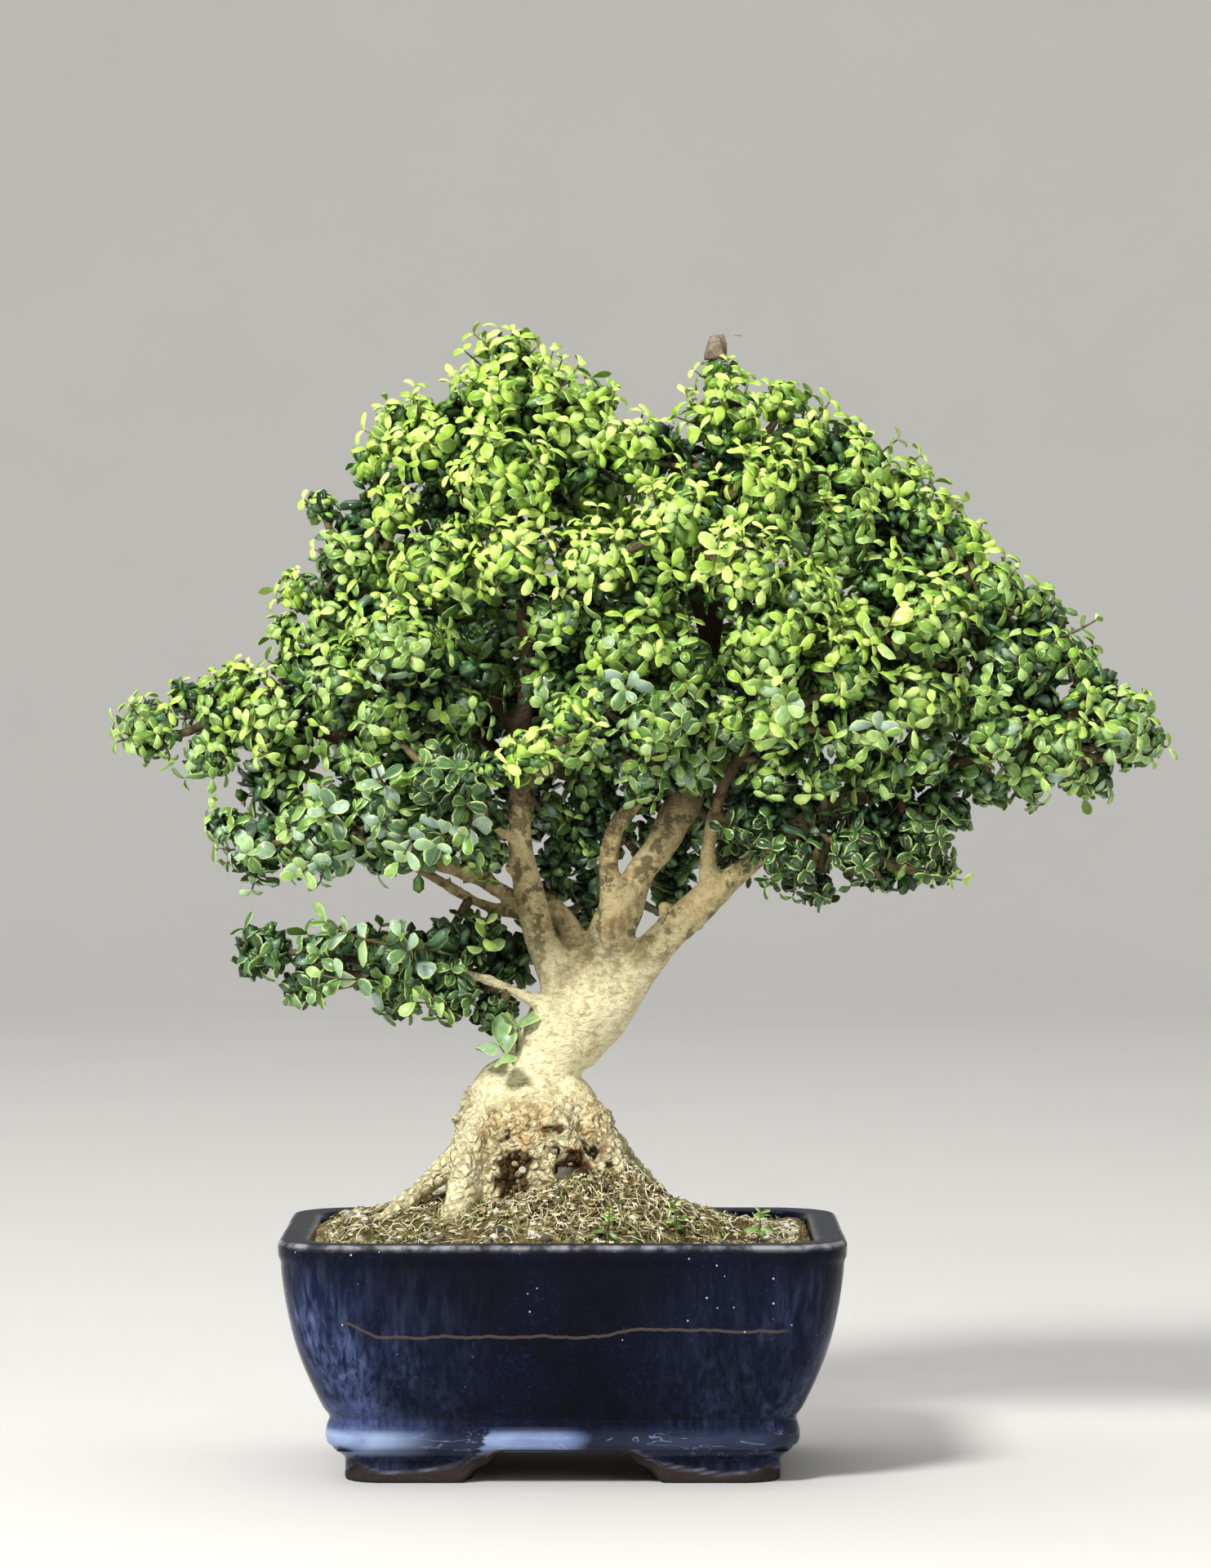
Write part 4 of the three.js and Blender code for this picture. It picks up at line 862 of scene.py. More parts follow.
# Each leafy head of the crown: its lobes [x, y, z, reach of the leaf tips].
HEADS = {
    "apex_left": [[-14, -4, 292, 24], [-34, -8, 281, 20], [6, -2, 285, 19], [-12, 19, 278, 21],
                  [-16, -24, 272, 20], [-46, -8, 286, 12], [19, -4, 279, 17], [8, 8, 268, 18],
                  [-32, 10, 266, 18], [-28, -6, 290, 14], [-15, -4, 305, 14], [6, -4, 292, 13],
                  [-52, -2, 276, 12], [-38, 0, 290, 11]],
    "apex_right": [[45, -2, 286, 19], [64, 3, 281, 19], [81, 0, 274, 17], [54, -20, 268, 19],
                   [60, 24, 268, 20], [34, 4, 270, 17], [94, 0, 268, 15], [76, -14, 256, 17],
                   [38, -16, 263, 16], [43, -3, 299, 11], [27, 2, 279, 13], [60, -2, 292, 12],
                   [98, -6, 262, 12], [78, 2, 281, 12]],
    "crown_middle": [[30, -28, 259, 18], [10, -32, 248, 17], [50, -38, 246, 17], [-13, -32, 251, 15],
                     [24, -26, 240, 15]],
    "left_shoulder": [[-56, -2, 249, 19], [-36, -22, 246, 18], [-62, -4, 232, 18], [-38, 14, 250, 19],
                      [-44, -34, 227, 18], [-49, -24, 206, 15], [-46, -6, 264, 17], [-34, -12, 228, 13],
                      [-52, 10, 222, 17], [-72, 2, 220, 15], [-60, -20, 217, 15], [-28, -20, 208, 12],
                      [-30, -8, 256, 14], [-60, -4, 257, 13], [-76, 0, 230, 10], [-66, -6, 264, 9],
                      [-72, -2, 240, 12], [-22, 12, 226, 15], [-38, 18, 228, 15]],
    "left_arm": [[-113, -6, 204, 15], [-95, 0, 208, 17], [-80, -12, 207, 17], [-86, 14, 206, 15],
                 [-63, -14, 210, 15], [-76, 2, 195, 14], [-98, -6, 196, 12], [-104, 0, 212, 11],
                 [-88, -4, 216, 10]],
    "left_middle": [[-84, -8, 172, 15], [-67, -16, 176, 18], [-48, -24, 181, 16], [-62, 14, 178, 16],
                    [-78, 2, 186, 14], [-56, -8, 194, 15], [-93, -4, 177, 10], [-42, -10, 196, 15],
                    [-28, -14, 192, 11], [-36, 2, 178, 12], [-24, -18, 182, 10],
                    [-22, 10, 168, 11], [-70, 8, 170, 12], [-34, 14, 192, 14], [-52, 14, 168, 10]],
    "front_left": [[-30, -44, 190, 14], [-33, -34, 176, 11]],
    "front_sprig": [[-9, -60, 197, 13], [3, -52, 206, 12], [-18, -56, 193, 9]],
    "middle": [[16, -34, 226, 16], [26, -36, 206, 15], [35, -28, 220, 15], [9, -26, 212, 12],
               [46, -24, 205, 14], [12, -16, 200, 12], [0, -22, 200, 12], [-2, -24, 232, 14],
               [34, -18, 194, 12], [22, -18, 190, 11], [-4, -14, 214, 13]],
    "right_middle": [[57, -40, 228, 18], [75, -32, 218, 17], [58, -32, 208, 16], [80, -26, 203, 16],
                     [98, -24, 212, 16], [99, -16, 196, 12], [70, -22, 190, 12], [88, -16, 190, 12],
                     [64, -32, 240, 15], [58, -18, 190, 12], [78, -16, 232, 14]],
    "right_shoulder": [[100, -2, 256, 18], [118, -8, 240, 17], [102, -24, 234, 17],
                       [133, -4, 224, 15], [108, 16, 240, 18], [120, -14, 222, 15], [88, -12, 244, 16],
                       [88, 10, 256, 17], [114, -18, 212, 14], [122, 4, 228, 17], [98, 0, 226, 16],
                       [110, -4, 254, 12], [142, -2, 222, 11], [129, -4, 237, 12]],
    "right_arm": [[152, -4, 202, 17], [136, -10, 199, 16], [138, 13, 200, 16], [119, -16, 203, 15],
                  [128, -5, 190, 13], [112, 0, 193, 12], [146, 2, 190, 11], [142, -6, 211, 12],
                  [131, -6, 212, 13], [161, -2, 199, 10], [118, 2, 186, 10]],
    "low_right": [[98, -10, 174, 15], [80, -18, 171, 15], [62, -22, 167, 13], [82, 12, 174, 15],
                  [50, -16, 177, 12], [70, 0, 180, 14], [108, 0, 180, 11], [88, -4, 163, 10],
                  [70, -12, 160, 9], [46, 4, 168, 10], [92, 8, 184, 12], [103, -8, 165, 9]],
    "low_left": [[-82, -4, 142, 12], [-66, -10, 140, 14], [-48, -12, 138, 14], [-31, -14, 131, 12],
                 [-56, 11, 141, 13], [-42, 2, 141, 12], [-72, -4, 132, 9], [-19, -2, 126, 10],
                 [-32, 4, 145, 11], [-46, 6, 128, 10], [-22, 10, 146, 10], [-20, 4, 134, 9],
                 [-34, 12, 134, 10]],
    "back_left": [[-44, 42, 222, 21], [-60, 34, 206, 18], [-30, 48, 200, 18], [-24, 40, 243, 20],
                  [-14, 34, 214, 17], [-10, 36, 192, 15], [-50, 28, 240, 17], [-40, 26, 186, 15],
                  [-22, 30, 176, 13], [-12, 18, 232, 14]],
    "back_middle": [[4, 48, 232, 21], [30, 52, 222, 20], [10, 42, 257, 20], [36, 44, 248, 19],
                    [16, 38, 206, 17], [8, 30, 187, 15], [28, 32, 190, 15], [3, 26, 169, 12],
                    [2, 20, 206, 14], [24, 24, 238, 17], [26, 26, 172, 11], [14, 26, 176, 12],
                    [38, 24, 178, 12], [20, 18, 208, 15], [-2, 26, 158, 9], [10, 14, 222, 14],
                    [-5, 22, 178, 12], [8, 30, 160, 9], [28, 30, 161, 10], [22, 24, 184, 12],
                    [6, 30, 148, 8], [32, 30, 150, 8]],
    "back_right": [[66, 42, 240, 19], [86, 34, 220, 20], [108, 28, 210, 18], [68, 46, 208, 18],
                   [50, 40, 222, 18], [48, 28, 196, 16], [84, 24, 192, 15], [92, 24, 242, 17],
                   [64, 24, 181, 13], [46, 22, 176, 11], [66, 16, 206, 15]],
}
ALL_LOBES = np.array([lobe for lobes in HEADS.values() for lobe in lobes], float)
CROWN_HEART = np.array([12.0, 0.0, 205.0])

# How a head's leaves grow: their length against the rest's, how much younger and so lighter, how hooked, and
# how far each leaf's tint is lifted toward the light tone as a painted waxy sheen, lowered toward the dark
# tone as painted shade where negative; the low heads' negative numbers in both columns paint shade.
PLAIN_HABIT = (1.0, 0.03, 1.0, 0.08)
LEAF_HABIT = {
    "front_left": (1.18, -0.25, 0.5, -0.3), "left_middle": (1.02, 0.0, 0.85, 0.22),
    "low_left": (1.05, -0.1, 0.75, -0.26), "front_sprig": (1.0, 0.6, 1.0, 0.1),
    "left_arm": (0.95, 0.18, 1.0, 0.15), "left_shoulder": (1.0, 0.05, 1.0, 0.15),
    "crown_middle": (1.0, 0.16, 1.0, 0.3), "middle": (1.0, 0.0, 0.9, 0.04),
    "right_middle": (1.0, 0.18, 1.0, 0.18), "right_arm": (1.0, 0.12, 1.0, 0.18),
    "low_right": (0.9, -0.36, 1.0, -0.62), "apex_right": (1.0, -0.02, 1.0, 0.0),
    "right_shoulder": (1.0, -0.02, 1.0, 0.02),
}

# Sprays of large leaves that stand out of the heads: [heart, tip, pairs, size of leaf, young].
SPRAYS = {
    "front_left": [
        [[-31, -40, 180], [-33.5, -55, 172.5], 2, 11.5, 0.12],
        [[-24, -36, 184], [-25, -50, 175.0], 2, 10.0, 0.12],
        [[-40, -34, 176], [-44, -46, 168.0], 2, 10.0, 0.2],
    ],
    "low_left": [
        [[-34, -14, 143], [-64, -27, 150.5], 5, 10.5, 0.2],
        [[-40, -16, 139], [-44, -30, 147.0], 2, 10.5, 0.15],
        [[-50, -14, 136], [-65, -27, 136.5], 3, 9.5, 0.22],
        [[-30, -12, 131], [-40, -24, 129.0], 2, 9.0, 0.3],
        [[-22, -8, 142], [-21, -16, 150.0], 2, 7.0, 0.7],
    ],
    "low_right": [[[92, -12, 168], [109, -16, 162.0], 5, 6.5, 0.6]],
    "right_shoulder": [
        [[134, -6, 228], [146, -8, 233.0], 3, 6.5, 0.3],
        [[84, -34, 226], [90, -48, 237.0], 2, 10.0, 0.95],
    ],
    "apex_right": [[[40, -40, 246], [42.5, -52, 257.0], 2, 9.0, 0.95]],
    "left_middle": [
        [[-60, -24, 180], [-66, -38, 184.0], 2, 9.5, 0.15],
        [[-48, -30, 188], [-50, -42, 193.0], 2, 9.5, 0.12],
        [[-68, -22, 168], [-72, -34, 164.0], 2, 9.0, 0.3],
    ],
    "middle": [
        [[18, -40, 218], [17, -53, 214.0], 2, 9.5, 0.1],
        [[8, -30, 206], [6, -42, 200.0], 2, 9.5, 0.1],
    ],
    "right_middle": [
        [[60, -44, 214], [60, -56, 210.0], 2, 9.5, 0.3],
        [[84, -38, 206], [86, -48, 202.0], 2, 9.0, 0.25],
    ],
}
SPRAY_CURL = 0.42
# Square millimetres of a lobe's or a filler's surface for each shoot.
SHOOT_AREA, FILLER_AREA = 98.0, 240.0
GOLDEN_ANGLE = 2.39996
# Heights in the crown between which leaves turn from old to young.
OLD_UP_TO, YOUNG_FROM = 165, 285


def outside_others(points, own, reach):
    """Whether each point is outside the inner part, reach of the radius, of every lobe but its own."""
    gaps = np.linalg.norm(points[:, None] - ALL_LOBES[None, :, :3], axis=2)
    inside = gaps < reach * ALL_LOBES[None, :, 3]
    inside[:, own] = False
    return ~inside.any(axis=1)


def spread_directions(count, rng):
    """Directions at even heights on a ball, each a golden angle round from the last, jittered."""
    z = 1 - 2 * (np.arange(count) + 0.5) / count
    turn = np.arange(count) * GOLDEN_ANGLE + rng.uniform(0, 2 * np.pi)
    flat = np.sqrt(1 - z * z)
    even = np.stack([flat * np.cos(turn), flat * np.sin(turn), z], axis=1)
    return unit(even + rng.normal(0, 0.16, (count, 3)))


# The layers of a lobe: how deep, what share of the shoots, their pairs, their leaves' form and size.
LAYERS = [
    (1.0, 1.0, 4, FINE_LEAF, 1.0),
    (0.68, 0.5, 3, INNER_LEAF, 1.12),
]

# Inner leaves between the lobes, darkened as painted shade: [x, y, z, reach].
FILLERS = {
    "low_left": [[-14, 10, 140, 10], [-34, 8, 136, 10], [-26, 0, 142, 9]],
    "front_left": [[-32, -26, 182, 12], [-38, -22, 172, 10], [-24, -20, 176, 9]],
    "left_middle": [[-40, -6, 188, 13], [-64, 0, 178, 13], [-50, 0, 172, 11], [-76, -2, 176, 10]],
    "left_shoulder": [[-60, 0, 240, 14], [-46, -8, 236, 14], [-56, -4, 224, 14], [-40, -14, 214, 13],
                      [-60, -4, 250, 11], [-28, -14, 216, 12], [-54, 0, 260, 9], [-65, 0, 228, 9]],
    "left_arm": [[-92, -2, 206, 9], [-76, -4, 204, 11], [-74, 0, 212, 9], [-82, 0, 190, 8]],
    "apex_left": [[-10, 0, 282, 14], [-28, -4, 276, 12], [6, 0, 276, 12], [-40, -4, 278, 10],
                  [-4, -10, 266, 12], [-16, 0, 296, 9]],
    "apex_right": [[44, 2, 276, 13], [62, 0, 272, 13], [78, 0, 266, 12], [28, 4, 280, 9],
                   [90, 0, 264, 10], [76, 2, 278, 9]],
    "crown_middle": [[28, -16, 250, 14], [8, -18, 246, 14], [46, -22, 246, 14], [-10, -16, 246, 12]],
    "middle": [[20, -20, 222, 14], [34, -16, 212, 13], [8, -14, 206, 12], [26, -8, 196, 11],
               [-2, -12, 222, 12]],
    "right_middle": [[58, -20, 222, 14], [76, -18, 214, 14], [62, -16, 202, 12], [82, -12, 200, 12],
                     [60, -10, 236, 12], [51, -8, 186, 10]],
    "right_shoulder": [[100, -4, 244, 14], [116, -4, 232, 13], [104, -6, 226, 13], [90, -4, 236, 13],
                       [130, -2, 230, 11], [124, 0, 212, 11]],
    "right_arm": [[140, -2, 203, 11], [126, -4, 200, 11], [149, 0, 212, 9], [103, -4, 188, 9]],
    "low_right": [[84, -6, 176, 12], [66, -8, 172, 11], [98, -2, 178, 10], [93, 0, 167, 9],
                  [56, -6, 178, 10]],
    "back_middle": [[8, 26, 178, 12], [-4, 18, 166, 9], [30, 22, 168, 10], [6, 28, 156, 9],
                    [32, 28, 158, 9], [-2, 30, 206, 12], [20, 34, 222, 14], [20, 30, 200, 13],
                    [30, 36, 208, 12]],
    "back_left": [[-40, 30, 214, 14], [-24, 28, 208, 13], [-30, 26, 232, 13], [-12, 22, 186, 11]],
    "back_right": [[70, 30, 214, 14], [86, 24, 210, 13], [56, 24, 208, 13], [76, 28, 232, 13],
                   [100, 18, 214, 11], [52, 16, 184, 10]],
}


def hidden_behind(points, directions, own):
    """Whether the core of another lobe lies in the way from each point along its direction."""
    apart = ALL_LOBES[None, :, :3] - points[:, None]
    along = np.sum(apart * directions[:, None], axis=2)
    aside = np.linalg.norm(apart - along[..., None] * directions[:, None], axis=2)
    blocked = (aside < 0.7 * ALL_LOBES[None, :, 3]) & (along > 0.5 * ALL_LOBES[None, :, 3])
    blocked[:, own] = False
    return blocked.any(axis=1)


def grow_lobe(heap, rng, own, stretch, shift, curl, sheen_and_shade):
    """Shoots all over the open side of one lobe, and larger leaves inside it, darkened as painted shade."""
    centre, radius = ALL_LOBES[own, :3], ALL_LOBES[own, 3]
    count = int(4 * np.pi * (radius - 3) ** 2 / SHOOT_AREA)
    for depth, share, pairs, form, larger in LAYERS:
        outer = depth == 1.0
        directions = spread_directions(max(int(count * share), 4), rng)
        surface = centre + directions * (radius * 0.86 * depth)
        keep = outside_others(surface, own, 0.8 if outer else 0.62)
        outward = unit(surface - CROWN_HEART)
        hidden = hidden_behind(surface, directions, own) & hidden_behind(surface, outward, own)
        keep &= ~(hidden & (rng.random(len(keep)) < (0.75 if outer else 0.3)))
        directions, surface = directions[keep], surface[keep]
        if not len(directions):
            continue
        outward = unit(surface - CROWN_HEART)
        heading = unit(directions + 0.35 * outward + 0.42 * UP + rng.normal(0, 0.34, directions.shape))
        size = np.minimum(rng.uniform(7.6, 10.2, len(surface)) * stretch * larger, 0.78 * radius)
        reach = rng.uniform(0.8, 1.12, len(size)) + 0.2 * lattice_noise(surface, 9, 61)
        tips = centre + directions * ((radius * depth - 0.5 * size / larger) * reach)[:, None]
        hearts = centre + (tips - centre) * rng.uniform(0.1, 0.35, (len(size), 1))
        # Younger and lighter toward the top and where a leaf faces up: partly the fresh growth and partly
        # painted light from above.
        high = blend_step(OLD_UP_TO, YOUNG_FROM, surface[:, 2])
        facing = 0.5 + 0.5 * (directions[:, 2] * 0.8 + outward[:, 2] * 0.3)
        young = np.clip(0.11 + 0.45 * high + 0.34 * facing * (0.35 + 0.65 * high) + shift
                        + rng.normal(0, 0.15, len(size)), 0, 1)
        # Painted shade inside the lobe: its inner leaves are made older and their tint lowered toward the
        # dark tone.
        if not outer:
            young = young * 0.2
        slim = 0.6 - 0.17 * young
        add_shoots(heap, form, rng, hearts, tips, heading, pairs, size, slim, young, curl=curl,
                   sheen_and_shade=sheen_and_shade if outer else -0.3)


def add_fillers(heap, rng, fillers):
    """Leafy shoots through balls between the lobes, so that no light shows between them, old and dark as
    painted shade.
    """
    for x, y, z, reach in fillers:
        directions = spread_directions(int(4 * np.pi * reach ** 2 / FILLER_AREA), rng)
        count = len(directions)
        hearts = np.array([[x, y, z]]) + rng.normal(0, 1.5, (count, 3))
        tips = hearts + directions * reach * rng.uniform(0.6, 1.0, (count, 1))
        heading = unit(directions + 0.4 * UP)
        size = rng.uniform(8.0, 10.5, count)
        # Painted shade: the fillers' leaves are old and their tint lowered toward the dark tone.
        add_shoots(heap, INNER_LEAF, rng, hearts, tips, heading, 3, size, 0.66,
                   np.full(count, 0.06), spacing=3.0, curl=0.7, sheen_and_shade=-0.3)


def add_sprays(heap, rng, sprays):
    """Shoots placed one by one, with large leaves that hardly curl and their tint lifted toward the light
    tone as a painted waxy sheen.
    """
    for heart, tip, pairs, size, young in sprays:
        heart, tip = np.array([heart], float), np.array([tip], float)
        heading = unit(unit(tip - heart) + 0.25 * UP)
        spacing = SPACING_LEAF / size * np.linalg.norm(tip - heart) / (pairs + 0.4)
        add_shoots(heap, FINE_LEAF, rng, heart, tip, heading, pairs, np.array([size]), 0.62,
                   # Painted waxy sheen: the sprays' tints are lifted toward the light tone.
                   np.array([young]), spacing=spacing, curl=SPRAY_CURL, sheen_and_shade=0.4)


def nearest_route(points, routes):
    """For each point, the nearest place on the wood's middle lines."""
    gaps = np.linalg.norm(points[:, None] - routes[None], axis=2)
    return routes[np.argmin(gaps, axis=1)]


def make_head(number, name, routes):
    """One leafy head: bearers from the wood to each lobe, then the lobe's shoots."""
    heap = Heap(*LEAF_MARKS)
    rng = np.random.default_rng([SEED, number])
    lobes = np.array(HEADS[name], float)
    first = sum(len(HEADS[other]) for other in list(HEADS)[:number])
    starts = nearest_route(lobes[:, :3], routes)
    middles = (starts + lobes[:, :3]) / 2 + rng.normal(0, 3, starts.shape) - 4 * UP
    add_tubes(heap, bent_paths(starts, middles, lobes[:, :3], 8),
              np.tile(np.linspace(1.5, 0.9, 8), (len(lobes), 1)), 5, TWIG, young=0.0, tint=0.4)
    for own in range(first, first + len(lobes)):
        grow_lobe(heap, rng, own, *LEAF_HABIT.get(name, PLAIN_HABIT))
    add_sprays(heap, rng, SPRAYS.get(name, []))
    add_fillers(heap, rng, FILLERS.get(name, []))
    make_piece(f"leaves_{name}", heap, LEAF_MATERIALS,
               [f"foliage_{name}"], sharp="margin")


# The wood: stations [x, y, z, radius] of the stock, its roots and the limbs.

STOCK = [
    [[-8, 0, 46, 16], [-8, -1, 62, 23], [-8.4, -1, 76, 23.6], [-8.4, -1, 84, 23], [-8, 0, 90, 21.2],
     [-9, 0, 96, 18.9], [-11, 0, 101, 15.2], [-8.4, 0, 106, 11.6], [-4.6, 0, 113, 10.3],
     [1.5, 0, 121, 12], [6.3, 0, 128, 12.6], [9, 1, 136, 11], [10, 2, 142, 8.5]],
    [[-10, -4, 107, 4], [-17, -10, 99, 5.6], [-25, -17, 90, 5], [-27, -21, 80, 4.5],
     [-28.5, -24, 73, 4.2], [-32, -28, 66, 4.2], [-37, -31, 56, 3]],
    [[-22, -8, 90, 6.5], [-34, -11, 81, 3.6], [-44, -14, 73, 2.8], [-54, -17, 63, 2.2]],
    [[-1, -4, 106, 4], [6, -8, 96, 6], [12, -14, 87, 5], [16, -18, 78, 4.6], [24, -22, 66, 3.4],
     [27, -23, 60, 2.6]],
    [[-7, -6, 107, 4], [-6, -13, 99, 4.6], [0, -19, 92, 4], [6, -22, 83, 3.6], [9, -24, 75, 3],
     [11, -25, 66, 2.2]],
    [[6, 6, 92, 7], [17, 10, 80, 5.5], [30, 13, 66, 3.6], [38, 15, 58, 2.6]],
    [[-2, 12, 92, 7], [3, 23, 78, 5.5], [8, 32, 66, 3.4], [10, 37, 58, 2.4]],
    [[-18, 10, 90, 7], [-26, 20, 77, 5.5], [-34, 27, 66, 3.4], [-38, 31, 58, 2.4]],
]
LIMBS = [
    [[1, -1, 132, 7], [-5.6, -3, 144, 4.5], [-8.6, -4, 155, 4.4], [-11.7, -4, 170, 3.5],
     [-12, -4, 180, 3.1], [-12, -3, 196, 2.7], [-10, -3, 222, 2.4], [-12, -3, 250, 2.1],
     [-14, -4, 288, 1.5]],
    [[-10, -4, 163, 2.8], [-14, -5, 165, 2.2], [-15.8, -5, 166, 1.4]],
    [[6, 5, 138, 6], [-4, 7, 153.5, 3.5], [-13, 8, 156, 2.4], [-30, 8, 164, 1.9], [-66, -13, 176, 1.4]],
    [[-6, 7, 152, 2.4], [-14, 9, 152, 1.7], [-26, 10, 156, 1.5], [-60, 12, 176, 1.3]],
    [[-20, 8, 160, 1.9], [-40, 10, 186, 1.9], [-62, 8, 200, 1.8], [-84, 2, 206, 1.6], [-95.5, 0, 208, 1.3]],
    [[-12, -3, 200, 2.1], [-24, -4, 218, 1.9], [-40, -8, 236, 1.7], [-54, -3, 246, 1.4]],
    [[-12, -2, 192, 2.1], [-22, 16, 200, 1.9], [-43, 41, 219, 1.5]],
    [[-12, -4, 172, 1.9], [-20, -16, 178, 1.6], [-30, -42, 189, 1.3]],
    [[-12, -4, 186, 1.9], [-9, -24, 190, 1.6], [-8.5, -57, 197.5, 1.3]],
    [[9, 1, 132, 8.5], [13, 0, 146, 6.6], [16.5, 0, 155, 6.2], [17, 0, 160, 5]],
    [[14, -1, 152, 4.2], [12.4, -2, 165, 2.8], [14.6, -4, 176, 2.5], [22, -10, 187, 2.3],
     [26, -34, 206, 1.5]],
    [[17, 0, 152, 5], [21, 1, 163, 4.1], [27, 1, 171, 4.4], [31, 1, 179, 5.0], [35, 1, 187, 4.5],
     [38, 2, 206, 3], [42, 1, 236, 2.3], [47, -1, 283, 1.5]],
    [[38, 2, 208, 2.2], [28, 18, 222, 1.9], [7, 45, 233, 1.5]],
    [[40, 1, 226, 2], [36, -8, 240, 1.8], [30, -26, 257, 1.4]],
    [[37, 2, 200, 2.2], [52, 18, 212, 1.9], [67, 40, 237, 1.5]],
    [[2, -1, 114, 7], [9.5, -2, 124, 8.6], [18, -3, 134, 6.4], [26.3, -4, 144, 5.0],
     [35, -5, 152.6, 4.9], [43, -5, 160, 4.4]],
    [[30, -4, 149, 2.8], [28, -4, 153.4, 2.1], [27.4, -4, 155.6, 1.4]],
    [[41, -5, 157, 3.4], [39.8, -5, 167, 2.3], [41, -8, 178, 2], [46, -14, 192, 1.9],
     [57.5, -31, 208.5, 1.4]],
    [[41, -5, 158, 4.0], [50, -5, 165, 2.9], [57, -5, 171, 2.7], [66, -5, 178, 2.5], [92, -4, 188, 2.2],
     [116, -4, 196, 1.9], [137, -8, 199, 1.4]],
    [[86, -4, 186, 2], [98, -4, 204, 1.8], [117, -8, 237, 1.4]],
    [[62, -5, 175, 2], [70, -9, 173.5, 1.7], [80.5, -17, 171.5, 1.4]],
    [[-2, -4, 126, 3.4], [-10, -6, 129.5, 1.9], [-21.6, -8, 134.6, 1.6], [-34, -10, 136.2, 1.4],
     [-48, -12, 138, 1.3]],
]
# Hollows between the front roots: [centre, half sizes].
HOLLOWS = [[[-14, -25, 81], [5.2, 8, 11.5]], [[1.5, -25, 84.5], [7.4, 7, 5.6]],
           [[-3, -21, 95.0], [3.2, 5, 2.2]]]
# Millimetres between the corky nodules of the roots.
NODULE = 2.3
PEBBLE_AT = np.array([0.8, -20.5, 80.9])


def wood_routes():
    """The middle lines of all limbs, a place every few millimetres."""
    return np.concatenate([smooth_route(stations, 8)[:, :3] for stations in LIMBS])


def root_lumps(rng):
    """Corky lumps on the root mass: (places, radii) on its surface at every height and turn."""
    count = 150
    z = rng.uniform(64, 105, count)
    turn = rng.uniform(0, 2 * np.pi, count)
    stock = smooth_route(STOCK[0], 8)
    middle_x = np.interp(z, stock[:, 2], stock[:, 0])
    reach = np.interp(z, stock[:, 2], stock[:, 3]) * rng.uniform(0.86, 1.0, count)
    places = np.stack([middle_x + reach * np.cos(turn), reach * np.sin(turn), z], axis=1)
    return places, rng.uniform(1.6, 4.0, count)


def add_balls(heap, places, radii, squash, rng, kind=0, rings=5, around=8, **marks):
    """Adds closed lumpy balls: rings of corners at even angles from pole to pole."""
    polar = np.linspace(0, np.pi, rings + 2)[1:-1]
    ball = round_rings(np.stack([np.sin(polar), np.cos(polar)], axis=1), around)
    shape = np.concatenate([ball, [[0, 0, 1]], [[0, 0, -1]]])
    spin = rng.uniform(0, 2 * np.pi, len(places))
    uneven = 1 + rng.uniform(-0.22, 0.22, (len(places), len(shape), 1))
    body = shape[None] * uneven * radii[:, None, None] * squash
    c, s = np.cos(spin)[:, None], np.sin(spin)[:, None]
    turned = np.stack([c * body[..., 0] - s * body[..., 1], s * body[..., 0] + c * body[..., 1],
                       body[..., 2]], axis=2)
    points = places[:, None] + turned
    wall = grid_faces(rings, around)[:, ::-1]
    a, b = np.arange(around), (np.arange(around) + 1) % around
    last = (rings - 1) * around
    caps = np.concatenate([np.stack([a, b, np.full(around, len(shape) - 2)], axis=1),
                           np.stack([b + last, a + last, np.full(around, len(shape) - 1)], axis=1)])
    starts = np.arange(len(places))[:, None, None] * len(shape)
    start = heap.count
    heap.add(points, (wall + starts).reshape(-1, 4), kind, **repeated(marks, len(shape)))
    heap.join((caps + starts).reshape(-1, 3) + start, kind)


def welded(heap, pitch, smoothing):
    """The heap's overlapping bodies as one skin: (corners in millimetres, normals, faces).

    Its quads are about the pitch wide, and its corners are evened out smoothing times.
    """
    rough = bpy.data.meshes.new("rough")
    points = np.concatenate(heap.points) * MM
    faces = [face.tolist() for block in heap.faces for face in block]
    rough.from_pydata(points.tolist(), [], faces)
    carrier = add_object("rough", rough)
    remesh = carrier.modifiers.new("weld", "REMESH")
    remesh.mode = "VOXEL"
    remesh.voxel_size = pitch * MM
    relax = carrier.modifiers.new("relax", "SMOOTH")
    relax.factor = 0.5
    relax.iterations = smoothing
    graph = bpy.context.evaluated_depsgraph_get()
    skin = bpy.data.meshes.new_from_object(carrier.evaluated_get(graph))
    corners, normals = np.empty((2, 3 * len(skin.vertices)))
    skin.vertices.foreach_get("co", corners)
    skin.vertices.foreach_get("normal", normals)
    loops = np.empty(len(skin.loops), np.int32)
    skin.loops.foreach_get("vertex_index", loops)
    bpy.data.objects.remove(carrier)
    bpy.data.meshes.remove(rough)
    bpy.data.meshes.remove(skin)
    return corners.reshape(-1, 3) / MM, normals.reshape(-1, 3), loops.reshape(-1, 4)


